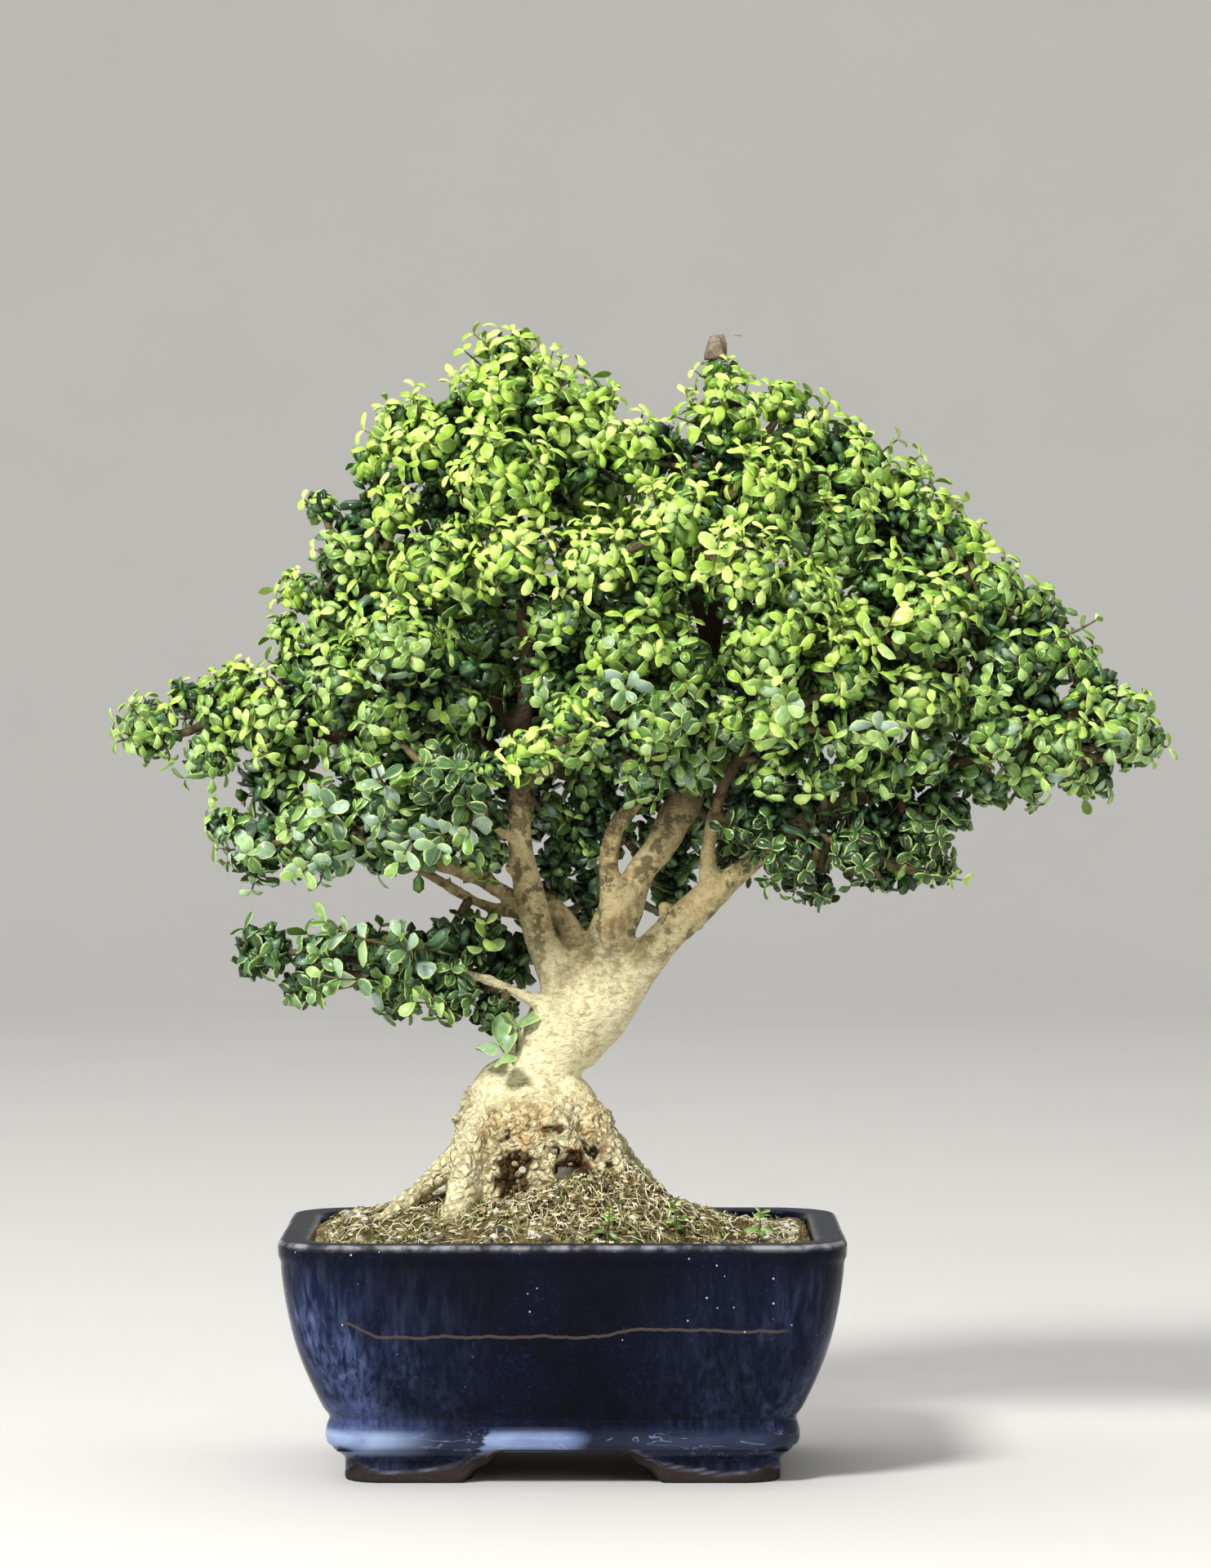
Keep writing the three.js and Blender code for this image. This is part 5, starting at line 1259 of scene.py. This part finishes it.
def bark_relief(points):
    """How far the bark stands out, and how deep in a crevice each corner is.

    Sums of noise: nodules with creases between them on the roots, upright wrinkles on trunk and
    limbs, and pits pushed in where an ellipsoid's distance 1 - |p - centre| / size is above 0.
    """
    z = points[:, 2]
    roots = blend_step(108, 99, z)
    column = blend_step(-19, -25, points[:, 0]) * blend_step(-4, -12, points[:, 1])
    corky = roots * (1 - 0.85 * column)
    thick = blend_step(150, 128, z) + 0.35
    limbs = blend_step(126, 144, z)
    creases = blend_step(0.34, 0.02, cell_noise(points * [1, 1, 0.85], NODULE, 11))
    lumps = lattice_noise(points, 6.5, 11) * 0.7 + 0.3 - 0.9 * creases
    wrinkles = lattice_noise(points * [1, 1, 0.3], 2.1, 13)
    wrinkles = wrinkles + 0.7 * lattice_noise(points * [1, 1, 0.5], 1.2, 14)
    out = corky * lumps + 0.2 * np.minimum(thick, 1) * wrinkles + 0.25 * thick * lattice_noise(points, 7, 15)
    out = out + limbs * 0.34 * lattice_noise(points * [1, 1, 0.6], 3.4, 20)
    pits = np.zeros(len(points))
    for centre, size in HOLLOWS:
        gap = 1 - np.linalg.norm((points - centre) / np.array(size), axis=1)
        gap = gap + 0.55 * lattice_noise(points, 3.2, 17) + 0.3 * lattice_noise(points, 1.6, 18)
        pits = np.maximum(pits, np.clip(gap * 1.8, 0, 1))
    small = blend_step(0.5, 0.8, lattice_noise(points, 4.2, 16)) * corky * blend_step(98, 93, z)
    out = out - 3.6 * pits - 1.3 * small + 1.6 * pits * lattice_noise(points, 1.9, 19)
    crevice = np.clip(pits * 1.15 + 0.5 * small + 0.5 * corky * creases, 0, 1)
    return out, crevice


def make_wood():
    """Roots, trunk and limbs: tubes and lumps welded to one skin, then the bark's relief."""
    rough = Heap()
    for stations in STOCK + LIMBS:
        route = smooth_route(stations, 6)
        add_tubes(rough, route[None, :, :3], route[None, :, 3], 20)
    rng = np.random.default_rng([SEED, 100])
    places, radii = root_lumps(rng)
    add_balls(rough, places, radii, np.array([1, 1, 1.1]), rng)
    points, normals, faces = welded(rough, pitch=1.05, smoothing=3)
    out, crevice = bark_relief(points)
    heap = Heap("crevice")
    heap.add(points + normals * out[:, None], faces, 0, crevice=crevice)
    make_piece("wood", heap, [bark_finish], ["trunk"])


def make_pebble():
    """The grey stone caught in the roots."""
    heap = Heap("tint")
    rng = np.random.default_rng([SEED, 101])
    add_balls(heap, PEBBLE_AT[None], np.array([1.0]), np.array([3.5, 3.0, 3.1]), rng,
              rings=9, around=16, tint=0.35)
    make_piece("root_pebble", heap, [stone_finish], ["pebble"])


# The pot.

# The wall from the floor's underside up to the lip, and down the inside: [inset, height].
OUTSIDE = [[15.8, 8.8], [13.3, 9.9], [12.6, 11.2], [12.35, 13], [12.7, 15], [13.4, 17.0], [13.0, 18.2],
           [11.7, 20], [9.5, 24.6], [7.0, 30.4], [5.0, 36], [3.4, 42], [1.9, 49.5], [0.9, 57], [0.7, 60],
           [0.1, 61.6], [0, 63], [0, 64.6], [0.3, 65.5], [1.2, 66]]
INSIDE = [[2.5, 66.1], [5.5, 66.0], [7.4, 65.8], [8.3, 64.9], [8.6, 63], [9.2, 50], [13, 33], [18.4, 20.5],
          [24, 15]]

# Corners in each ring of the pot.
POT_AROUND = 256


def pot_loop(inset, around):
    """A rounded rectangle round the pot's middle.

    Each corner is a quarter circle of the corner radius less a share of the inset. The corners
    take half of the loop's points and the sides the rest. Returns (points x y, corner share).
    """
    half = np.array([HALF_WIDTH, HALF_DEPTH]) - inset
    radius = max(CORNER_RADIUS - CORNER_TIGHTENING * inset, 3.0)
    each = around // 8
    middles = np.array([(1, 1), (-1, 1), (-1, -1), (1, -1)]) * (half - radius)
    share = np.arange(each) / each
    points, corner = [], []
    for number, (middle, next_middle) in enumerate(zip(middles, np.roll(middles, -1, axis=0))):
        angle = (number + share) * np.pi / 2
        arc = middle + radius * np.stack([np.cos(angle), np.sin(angle)], axis=1)
        turn = (number + 1) * np.pi / 2
        out = radius * np.array([np.cos(turn), np.sin(turn)])
        side = middle + out + (next_middle - middle) * share[:, None]
        points += [arc, side]
        corner += [np.ones(each), np.abs(2 * share - 1) ** 3]
    return np.concatenate(points), np.concatenate(corner)


def along_foot(points):
    """Whether each point is on the front or back, and how far it is from the middle of its side."""
    front = np.abs(points[:, 1]) > HALF_DEPTH - FOOT_INSET - 3.5
    return front, np.where(front, np.abs(points[:, 0]), np.abs(points[:, 1]))


def foot_bottom(points):
    """Height of the foot ring's lower edge: 0 at the corners, swept up to 8.4 towards each gap."""
    front, along = along_foot(points)
    half = np.where(front, 25.0, 17.0)
    return 4.9 * blend_step(half + 3.0, half - 2.4, along) + 3.5 * blend_step(half - 3.6, half - 8.0, along)


def glaze_edge(points):
    """Height where the glaze ends on the feet: 3 mm at each foot's middle, higher to both sides."""
    front, along = along_foot(points)
    from_middle = np.where(front, (along - 42) / 18, (along - 27) / 13)
    flat = np.column_stack([points[:, :2], np.zeros(len(points))])
    return 2.8 + 3.6 * from_middle ** 2 + 0.7 * lattice_noise(flat, 6, 33)


def pot_marks(loop, corner, ring, inset, z, outside):
    """The marks of one ring of the pot; outside is 1 on the outer wall and lip, and 0 inside them."""
    x, y = loop.T
    side = blend_step(0.72, 0.98, np.abs(x) / (HALF_WIDTH - inset))
    runny = np.clip(0.75 * corner + 0.5 * side, 0, 1) * blend_step(66, 44, z)
    haze_top = 18.6 + 7 * corner * (x < 0) + 1.4 * lattice_noise(ring * [1, 1, 0], 14, 34)
    front = outside * (y < -40) * (30 < z < 55)
    return {
        "runny": runny * (1 - 0.35 * blend_step(0, 60, x)),
        "haze": outside * blend_step(haze_top, haze_top - 4.5, z),
        "band": outside * blend_step(15.6, 13.0, z),
        "lip": blend_step(63.6, 65.0, z) * blend_step(9, 6, inset),
        "edge": blend_step(64.3, 65.2, z) * blend_step(1.3, 0.6, inset),
        # line: the front, where the painted reflection runs.
        "line": front * blend_step(-60, -57, x) * blend_step(62, 58, x),
        "bare": (1 - outside) * blend_step(62, 58, z),
    }


def make_pot():
    """The pot: rings up the outside, over the lip and down the inside, and the ring of feet.

    The outer rings swell and shrink by a tenth of a percent of noise, as hand-made walls do.
    """
    heap = Heap("runny", "haze", "band", "lip", "edge", "line", "bare", "glaze_end")
    profile = smooth_route([[inset, z, 0, 0] for inset, z in OUTSIDE + INSIDE], 2)[:, :2]
    rings, marks = [], []
    for number, (inset, z) in enumerate(profile):
        outside = float(number <= 2 * len(OUTSIDE))
        loop, corner = pot_loop(inset, POT_AROUND)
        ring = np.column_stack([loop, np.full(POT_AROUND, z)])
        rings.append(ring * (1 + outside * 0.001 * lattice_noise(ring, 26, 31)[:, None]))
        marks.append(pot_marks(loop, corner, ring, inset, z, outside))
    columns = {mark: np.concatenate([np.broadcast_to(values[mark], POT_AROUND) for values in marks])
               for mark in marks[0]}
    heap.add(np.concatenate(rings), grid_faces(len(rings), POT_AROUND), 0, **columns)
    add_pot_floor(heap)
    add_feet(heap)
    make_piece("glazed_pot", heap, [glaze_finish], ["pot"])


def add_pot_floor(heap):
    """The floor's top and underside: flat rings from each wall to the rims of two drain holes.

    Each half of the floor is one ring of quads from its share of the outline to its hole, and
    a short tube joins the two holes' rims.
    """
    half = POT_AROUND // 2
    turn = np.linspace(0, 2 * np.pi, half, endpoint=False)
    reach = np.stack([np.cos(turn), np.sin(turn)], axis=1)
    for side in (-1, 1):
        centre = np.array([side * DRAIN_OFFSET, 0.0])
        walls = []
        for inset, z in (INSIDE[-1], OUTSIDE[0]):
            width, depth = HALF_WIDTH - inset, HALF_DEPTH - inset
            low_x = 0.0 if side > 0 else -width
            high_x = width if side > 0 else 0.0
            with np.errstate(divide="ignore"):
                to_x = np.where(reach[:, 0] > 0, (high_x - centre[0]) / reach[:, 0],
                                (low_x - centre[0]) / reach[:, 0])
                to_y = np.abs(depth / reach[:, 1])
            edge = centre + reach * np.minimum(to_x, to_y)[:, None]
            hole = centre + reach * DRAIN_RADIUS
            middle = (edge + hole) / 2
            walls.append([np.column_stack([ring, np.full(half, z)]) for ring in (edge, middle, hole)])
        upper, lower = walls
        rings = np.concatenate(upper + lower[::-1])
        heap.add(rings, grid_faces(6, half), 0, bare=1.0)


def add_feet(heap):
    """The ring of feet: its outer wall flared under the pot, waved lower edge and inner wall."""
    outer, corner = pot_loop(FOOT_INSET, POT_AROUND)
    flared, _ = pot_loop(FOOT_INSET - FOOT_FLARE, POT_AROUND)
    inner, _ = pot_loop(FOOT_INSET + FOOT_THICK, POT_AROUND)
    bottom = foot_bottom(outer)
    edge = glaze_edge(outer)
    top = 10.2
    sections = []
    for share in np.linspace(0, 1, 14):
        z = top + (bottom + 0.7 - top) * share
        out = outer + (flared - outer) * blend_step(5.5, 9.6, z)[:, None]
        bare = blend_step(edge + 0.3, edge - 0.3, z)
        sections.append((np.column_stack([out, z]), bare, np.exp(-((z - edge) / 0.3) ** 2)))
    all_bare, no_glaze_end = np.ones(POT_AROUND), np.zeros(POT_AROUND)
    for shift, lift in ((0.25, 0.2), (0.8, 0.0), (FOOT_THICK - 0.8, 0.0), (FOOT_THICK, 0.7)):
        loop, _ = pot_loop(FOOT_INSET + shift, POT_AROUND)
        sections.append((np.column_stack([loop, bottom + lift]), all_bare, no_glaze_end))
    sections.append((np.column_stack([inner, np.full(POT_AROUND, top)]), all_bare, no_glaze_end))
    sections.append(sections[0])
    rings, bare, ends = (np.concatenate(values) for values in zip(*sections))
    heap.add(rings, grid_faces(len(sections), POT_AROUND)[:, ::-1], 0, bare=bare, glaze_end=ends,
             band=blend_step(6.5, 9.5, rings[:, 2]) * 0.6 * (1 - bare),
             runny=np.tile(corner * 0.45 + 0.1, len(sections)))


def make_screens():
    """The plastic screens over the drain holes: nine bars, and nine more laid across them."""
    line = np.linspace(-10.4, 10.4, 9)
    for side, word in ((-1, "left"), (1, "right")):
        heap = Heap("tint")
        middle = np.array([side * DRAIN_OFFSET, 0, 0])
        for lift, order in ((0.75, [0, 1, 2]), (1.15, [1, 0, 2])):
            starts = np.stack([line, np.full(9, -11.0), np.full(9, FLOOR_TOP + lift)], axis=1)
            ends = starts * [1, -1, 1]
            paths = np.stack([starts, (starts + ends) / 2, ends], axis=1)[..., order] + middle
            add_tubes(heap, paths, np.full((9, 3), 0.42), 6, tint=0.5)
        make_piece(f"screen_{word}", heap, [plastic_finish], [f"drain_mesh_{word}"])


# The soil and what lies on it.

MOUND_MIDDLE = np.array([-7.0, -2.0])
# How far loose things may lie from the pot's middle, across and in depth.
SOIL_REACH = np.array([65.0, 46.0])


def soil_height(x, y):
    """The mound: level at the wall, risen by 1 - out^1.6 toward the roots, with low lumps.

    Two banks, a height times exp(-distance^2), lie before the roots and against the right one.
    """
    out = np.minimum(np.hypot((x + 7) / 66.7, (y + 2) / 47), 1)
    lumps = 0.7 * np.sin(x * 0.21 + 1) * np.cos(y * 0.27) + 0.5 * np.sin(x * 0.13 - y * 0.31)
    bank = 4.6 * np.exp(-((x - 2) / 17) ** 2 - ((y + 25) / 8) ** 2)
    bank = bank + 9.0 * np.exp(-((x - 17) / 13) ** 2 - ((y + 17) / 10) ** 2)
    return SOIL_EDGE + MOUND_RISE * (1 - out ** 1.6) + bank + lumps * np.minimum(1, 3 * (1 - out))


def crumbled(x, y):
    """The mound's height with clods on it."""
    flat = np.stack([x, y, np.zeros_like(x)], axis=-1)
    return soil_height(x, y) + 0.8 * lattice_noise(flat, 5, 41) + 0.5 * lattice_noise(flat, 2.2, 42)


def make_soil():
    """The soil: rings shrunk from the pot's inner outline to the mound's middle, and its sides."""
    heap = Heap("tint")
    around = 224
    edge, _ = pot_loop(9.05, around)
    rings = []
    for share in np.concatenate([np.linspace(1, 0.02, 44), [0.0005]]):
        loop = MOUND_MIDDLE + (edge - MOUND_MIDDLE) * share
        rings.append(np.column_stack([loop, crumbled(*loop.T)]))
    sides = []
    for inset, z in ((24.4, 15.4), (18.8, 20.6), (13.4, 33), (9.7, 50)):
        sides.append(np.column_stack([pot_loop(inset, around)[0], np.full(around, z)]))
    centre = np.column_stack([pot_loop(24.4, around)[0] * 0.01, np.full(around, 15.4)])
    rings = [centre] + sides + rings
    heap.add(np.concatenate(rings), grid_faces(len(rings), around), 0, tint=0.5)
    add_closing_fans(heap, around, len(rings))
    make_piece("soil_mound", heap, [soil_finish], ["soil"])


def add_closing_fans(heap, around, rings, turned=False):
    """Closes the first and last ring of the heap's last grid, which may be turned inside out."""
    start = heap.count - around * rings
    fan = fan_faces(around)[:, ::-1] if turned else fan_faces(around)
    heap.join(fan[:, ::-1] + start)
    heap.join(fan + start + around * (rings - 1))


def ground_places(rng, count, edge=0.97):
    """Places strewn over the mound, outside the stock, and denser on the bank before the roots."""
    angle = rng.uniform(0, 2 * np.pi, 3 * count)
    reach = np.sqrt(rng.uniform(0, edge ** 2, 3 * count))
    x = np.cos(angle) * reach * 80
    y = np.sin(angle) * reach * 60
    banked = rng.random(3 * count) < 0.26
    x = np.where(banked, rng.normal(4, 17, 3 * count), x)
    y = np.where(banked, rng.normal(-25, 6, 3 * count), y)
    inside = (np.abs(x) < 64.5) & (np.abs(y) < 45) & (np.hypot(x + 8, y + 1) > 16)
    x, y = x[inside][:count], y[inside][:count]
    return np.stack([x, y, crumbled(x, y)], axis=1)


def laid(places, lift):
    """Places kept inside the wall and put that far above the mound."""
    x, y = np.clip(places[:, :2], -SOIL_REACH, SOIL_REACH).T
    return np.stack([x, y, crumbled(x, y) + lift], axis=1)


def make_straw():
    """Dry fibres and root hairs over the mound: curled tubes, thick and short or thin and long."""
    heap = Heap("tint")
    rng = np.random.default_rng([SEED, 110])
    for count, reach, thickness in ((1750, (2.0, 5.5), (0.12, 0.3)), (600, (5, 11), (0.08, 0.17))):
        starts = ground_places(rng, count)
        count = len(starts)
        turn = rng.uniform(0, 2 * np.pi, count)
        length = rng.uniform(*reach, count)
        flat = np.stack([np.cos(turn), np.sin(turn), np.zeros(count)], axis=1)
        side = np.cross(flat, UP) * (length * rng.normal(0, 0.3, count))[:, None]
        ends = laid(starts + flat * length[:, None], rng.uniform(-0.4, 1.6, count))
        controls = laid((starts + ends) / 2 + side, rng.uniform(0.8, 3.2, count))
        radii = np.tile([0.6, 1, 0.9, 0.3], (count, 1)) * rng.uniform(*thickness, (count, 1))
        add_tubes(heap, bent_paths(starts, controls, ends, 4), radii, 3, tint=rng.uniform(0.0, 1.0, count))
    chips = ground_places(rng, 1000)
    add_balls(heap, chips + [0, 0, 0.4], rng.uniform(0.5, 1.7, len(chips)), np.array([1, 0.6, 0.3]), rng,
              rings=2, around=5, tint=rng.uniform(0.1, 1.0, len(chips)))
    hairs_in_hollows(heap, rng)
    make_piece("dry_fibres", heap, [straw_finish])


def hairs_in_hollows(heap, rng):
    """Root hairs across the hollows of the root mass."""
    places, sizes = np.array(HOLLOWS, float).transpose(1, 0, 2)
    each = 7
    count = each * len(places)
    middle, size = np.repeat(places, each, axis=0), np.repeat(sizes, each, axis=0)
    starts = middle + rng.uniform(-1, 1, (count, 3)) * size * [1.0, 0.3, 1.0] + [0, 3.5, 0]
    ends = starts + rng.normal(0, 2.6, (count, 3)) * [1.0, 0.3, 1.0]
    controls = (starts + ends) / 2 + rng.normal(0, 1.0, (count, 3)) - [0, 2.0, 0]
    radii = np.tile([1, 1, 1, 0.9, 0.5], (count, 1)) * rng.uniform(0.1, 0.2, (count, 1))
    add_tubes(heap, bent_paths(starts, controls, ends, 5), radii, 4, tint=rng.uniform(0.0, 0.7, count))


def make_moss():
    """Moss and tiny green blades: short tapered tubes in cushions, at places where noise is high."""
    heap = Heap("tint")
    rng = np.random.default_rng([SEED, 111])
    cushions = ground_places(rng, 1050)
    wanted = lattice_noise(cushions * [1, 1, 0], 13, 43) + 0.25 * rng.normal(size=len(cushions)) > 0.1
    cushions = cushions[wanted]
    each = 7
    count = len(cushions) * each
    spots = np.repeat(cushions, each, axis=0)
    spots[:, :2] += rng.normal(0, 1.1, (count, 2))
    spots[:, 2] = crumbled(spots[:, 0], spots[:, 1]) - 0.2
    lean = rng.normal(0, 0.55, (count, 3))
    lean[:, 2] = 1
    tops = spots + unit(lean) * rng.uniform(0.9, 2.6, count)[:, None]
    controls = (spots + tops) / 2 + rng.normal(0, 0.25, (count, 3))
    radii = np.tile([0.7, 1.0, 0.15], (count, 1)) * rng.uniform(0.16, 0.3, (count, 1))
    add_tubes(heap, bent_paths(spots, controls, tops, 3), radii, 3, tint=rng.uniform(0.15, 0.9, count))
    make_piece("moss_tufts", heap, [moss_finish])


def make_gravel():
    """Crumbs of soil and small pale stones, more of the stones near the wall."""
    heap = Heap("tint")
    rng = np.random.default_rng([SEED, 112])
    crumbs_at = ground_places(rng, 900)
    size = rng.uniform(0.4, 1.3, len(crumbs_at))
    add_balls(heap, crumbs_at, size, np.array([1, 1, 0.75]), rng, kind=0, rings=2, around=5,
              tint=rng.uniform(0.1, 1.0, len(crumbs_at)))
    stones = ground_places(rng, 700)
    out = np.max(np.abs(stones[:, :2]) / SOIL_REACH, axis=1)
    stones = stones[(out > 0.8) | (rng.random(len(stones)) < 0.12)]
    size = rng.uniform(0.7, 2.2, len(stones)) * rng.uniform(0.6, 1.0, len(stones))
    add_balls(heap, stones, size, np.array([1, 0.8, 0.7]), rng, kind=1, rings=3, around=7,
              tint=rng.uniform(0.0, 1.0, len(stones)))
    for centre, reach in HOLLOWS[:2]:
        count = 90
        spots = np.array(centre) + rng.uniform(-1, 1, (count, 3)) * np.array(reach) * [0.95, 0.2, 0.95]
        spots[:, 1] += 4.6 + 0.04 * (spots[:, 0] + 8) ** 2 / 4
        spots = spots[np.linalg.norm(spots - PEBBLE_AT, axis=1) > 4.0]
        pale = rng.random(len(spots)) < 0.15
        for kind, chosen in ((0, spots[~pale]), (1, spots[pale])):
            add_balls(heap, chosen, rng.uniform(0.5, 1.4, len(chosen)), np.array([1, 0.9, 0.8]), rng,
                      kind=kind, rings=2, around=6, tint=rng.uniform(0.2, 0.9, len(chosen)))
    make_piece("crumbs_and_stones", heap, [soil_finish, stone_finish])


# Small plants and the husk.

def seedling(heap, rng, foot, top, pairs, size, young, slim=0.66, sheen_and_shade=0.0):
    """One small plant: a bent stem with pairs of round leaves."""
    foot, top = np.array([foot], float), np.array([top], float)
    heading = unit(unit(top - foot) + 0.4 * UP)
    add_shoots(heap, FINE_LEAF, rng, foot, top, heading, pairs, np.array([size]), slim, np.array([young]),
               spacing=2.6, curl=0.5, sheen_and_shade=sheen_and_shade)


def make_seedlings():
    """The weeds in the soil, each in place of its node, and the sprout low on the trunk."""
    plants = {
        "weed_front": [[12, -43, 64], [12.6, -44.2, 73.5], 3, 4.2, 0.55, 0.55],
        "weed_middle": [[31, -33, 65], [30.4, -33.5, 74.4], 3, 4.0, 0.5, 0.7],
        "weed_right": [[52, -36, 62], [53.6, -37, 72.6], 3, 4.6, 0.45, 0.7],
    }
    for number, (name, (foot, top, pairs, size, young, slim)) in enumerate(plants.items()):
        heap = Heap(*LEAF_MARKS)
        rng = np.random.default_rng([SEED, 120 + number])
        seedling(heap, rng, foot, top, pairs, size, young, slim)
        make_piece(name + "_plant", heap, LEAF_MATERIALS, [name], sharp="margin")
    heap = Heap(*LEAF_MARKS)
    rng = np.random.default_rng([SEED, 130])
    for tip, size in (([-17.5, -10, 116.4], 17.0), ([-15.5, -12, 114.0], 15.0), ([-12.5, -9, 121.0], 14.0)):
        seedling(heap, rng, [-13, -5, 111], tip, 0, size, 0.1, 0.82, 0.3)
    make_piece("trunk_sprout", heap, LEAF_MATERIALS,
               ["foliage_trunk_sprout"], sharp="margin")


def make_husk():
    """The dried husk on the top right shoot: a lobed bell with a thin whisker.

    Each ring's radius is a profile times 1 + 0.12 cos(5 turn), outside and then inside.
    """
    heap = Heap("tint")
    outside = [[0.3, 6.6], [1.5, 6.0], [2.4, 4.2], [2.8, 2.4], [2.9, 1.2], [3.4, 0.1]]
    inside = [[3.0, 0.2], [2.4, 1.3], [2.0, 3.4], [0.4, 4.6]]
    around = 40
    points = round_rings(outside + inside, around, 1 + 0.12 * np.cos(5 * full_turn(around)))
    crumple = 0.5 * lattice_noise(points, 2.2, 51) + 0.25 * lattice_noise(points, 0.9, 52)
    points = points * (1 + 0.42 * crumple[:, None])
    rings = len(outside + inside)
    heap.add(points + [42, -2, 304.6], grid_faces(rings, around)[:, ::-1], 0, tint=0.5)
    add_closing_fans(heap, around, rings, turned=True)
    stalk = bent_paths(np.array([[46, -2, 288]]), np.array([[43, -2, 298]]), np.array([[42, -2, 309]]), 8)
    add_tubes(heap, stalk, np.full((1, 8), 0.55), 6, tint=0.3)
    whisker = bent_paths(np.array([[43, -2, 310.4]]), np.array([[45, -2, 311.8]]),
                         np.array([[49, -2.4, 311.3]]), 6)
    add_tubes(heap, whisker, np.full((1, 6), 0.14), 5, tint=0.6)
    make_piece("dry_husk", heap, [husk_finish], ["seed_husk"])


# The studio, in metres.

FLOOR_REACH, WALL_BEND, WALL_TOP = 2.2, 1.2, 3.2
LAMPS_FACE = Vector((0.0, 0.0, 0.17))
CAMERA_AT = (-0.0099, -1.657, 0.2206)
# The photograph's focal length and height, and how far its middle lies below the horizon, in pixels.
FOCAL_PIXELS, FRAME_PIXELS, DOWN_PIXELS = 7360, 1920, 145
SENSOR = 36


def make_stage():
    """A pale round floor that curves up to a wall far from the object."""
    material, tree, shader = new_material("pale_floor", Roughness=0.9)
    place = object_place(tree)
    shade = mixed(tree, noise(tree, place, 6, 2), (214, 213, 210), (220, 219, 216))
    feed(tree, shader, Base_Color=shade)
    profile = [[0.0001, 0.0], [1.0, 0.0], [FLOOR_REACH, 0.0]]
    for angle in np.linspace(0, np.pi / 2, 14)[1:]:
        profile.append([FLOOR_REACH + WALL_BEND * math.sin(angle), WALL_BEND - WALL_BEND * math.cos(angle)])
    profile.append([FLOOR_REACH + WALL_BEND, WALL_TOP])
    around = 96
    faces = grid_faces(len(profile), around)[:, ::-1]
    mesh = bpy.data.meshes.new("floor")
    mesh.from_pydata(round_rings(profile, around).tolist(), [], faces.tolist())
    mesh.polygons.foreach_set("use_smooth", np.full(len(mesh.polygons), True))
    mesh.materials.append(material)
    add_object("floor", mesh)


def add_lamp(name, place, size, power, colour=(1.0, 1.0, 1.0)):
    """A round lamp at a place, turned to the tree's middle."""
    lamp = bpy.data.lights.new(name, "AREA")
    lamp.shape = "DISK"
    lamp.size = size
    lamp.energy = power
    lamp.color = colour
    thing = add_object(name, lamp)
    thing.location = place
    thing.rotation_euler = (LAMPS_FACE - Vector(place)).to_track_quat("-Z", "Y").to_euler()


def make_studio():
    """Soft light from the upper left front, a weak fill from the right, and the pale room."""
    make_stage()
    add_lamp("key", (-0.85, -1.35, 1.5), 0.5, 50, (1.0, 0.985, 0.95))
    add_lamp("fill", (1.5, -1.5, 0.9), 1.2, 5, (0.94, 0.97, 1.0))
    add_lamp("ceiling", (0.0, 0.5, 3.0), 3.0, 52)
    world = bpy.data.worlds.new("room")
    world.use_nodes = True
    background = world.node_tree.nodes["Background"]
    background.inputs["Color"].default_value = (0.86, 0.88, 0.9, 1)
    background.inputs["Strength"].default_value = 0.12
    bpy.context.scene.world = world
    bpy.context.scene.view_settings.view_transform = "Standard"


def make_camera():
    """The photograph's view: 1.657 m before the pot's middle, level with the crown, a long lens."""
    lens = bpy.data.cameras.new("camera")
    lens.sensor_width = SENSOR
    lens.lens = FOCAL_PIXELS / FRAME_PIXELS * SENSOR
    lens.clip_end = 50
    camera = add_object("camera", lens)
    camera.location = CAMERA_AT
    camera.rotation_euler = (math.pi / 2 - math.atan(DOWN_PIXELS / FOCAL_PIXELS), 0, 0)
    bpy.context.scene.camera = camera


routes = wood_routes()
for number, name in enumerate(HEADS):
    make_head(number, name, routes)
make_wood()
make_pebble()
make_pot()
make_screens()
make_soil()
make_straw()
make_moss()
make_gravel()
make_seedlings()
make_husk()
make_studio()
make_camera()
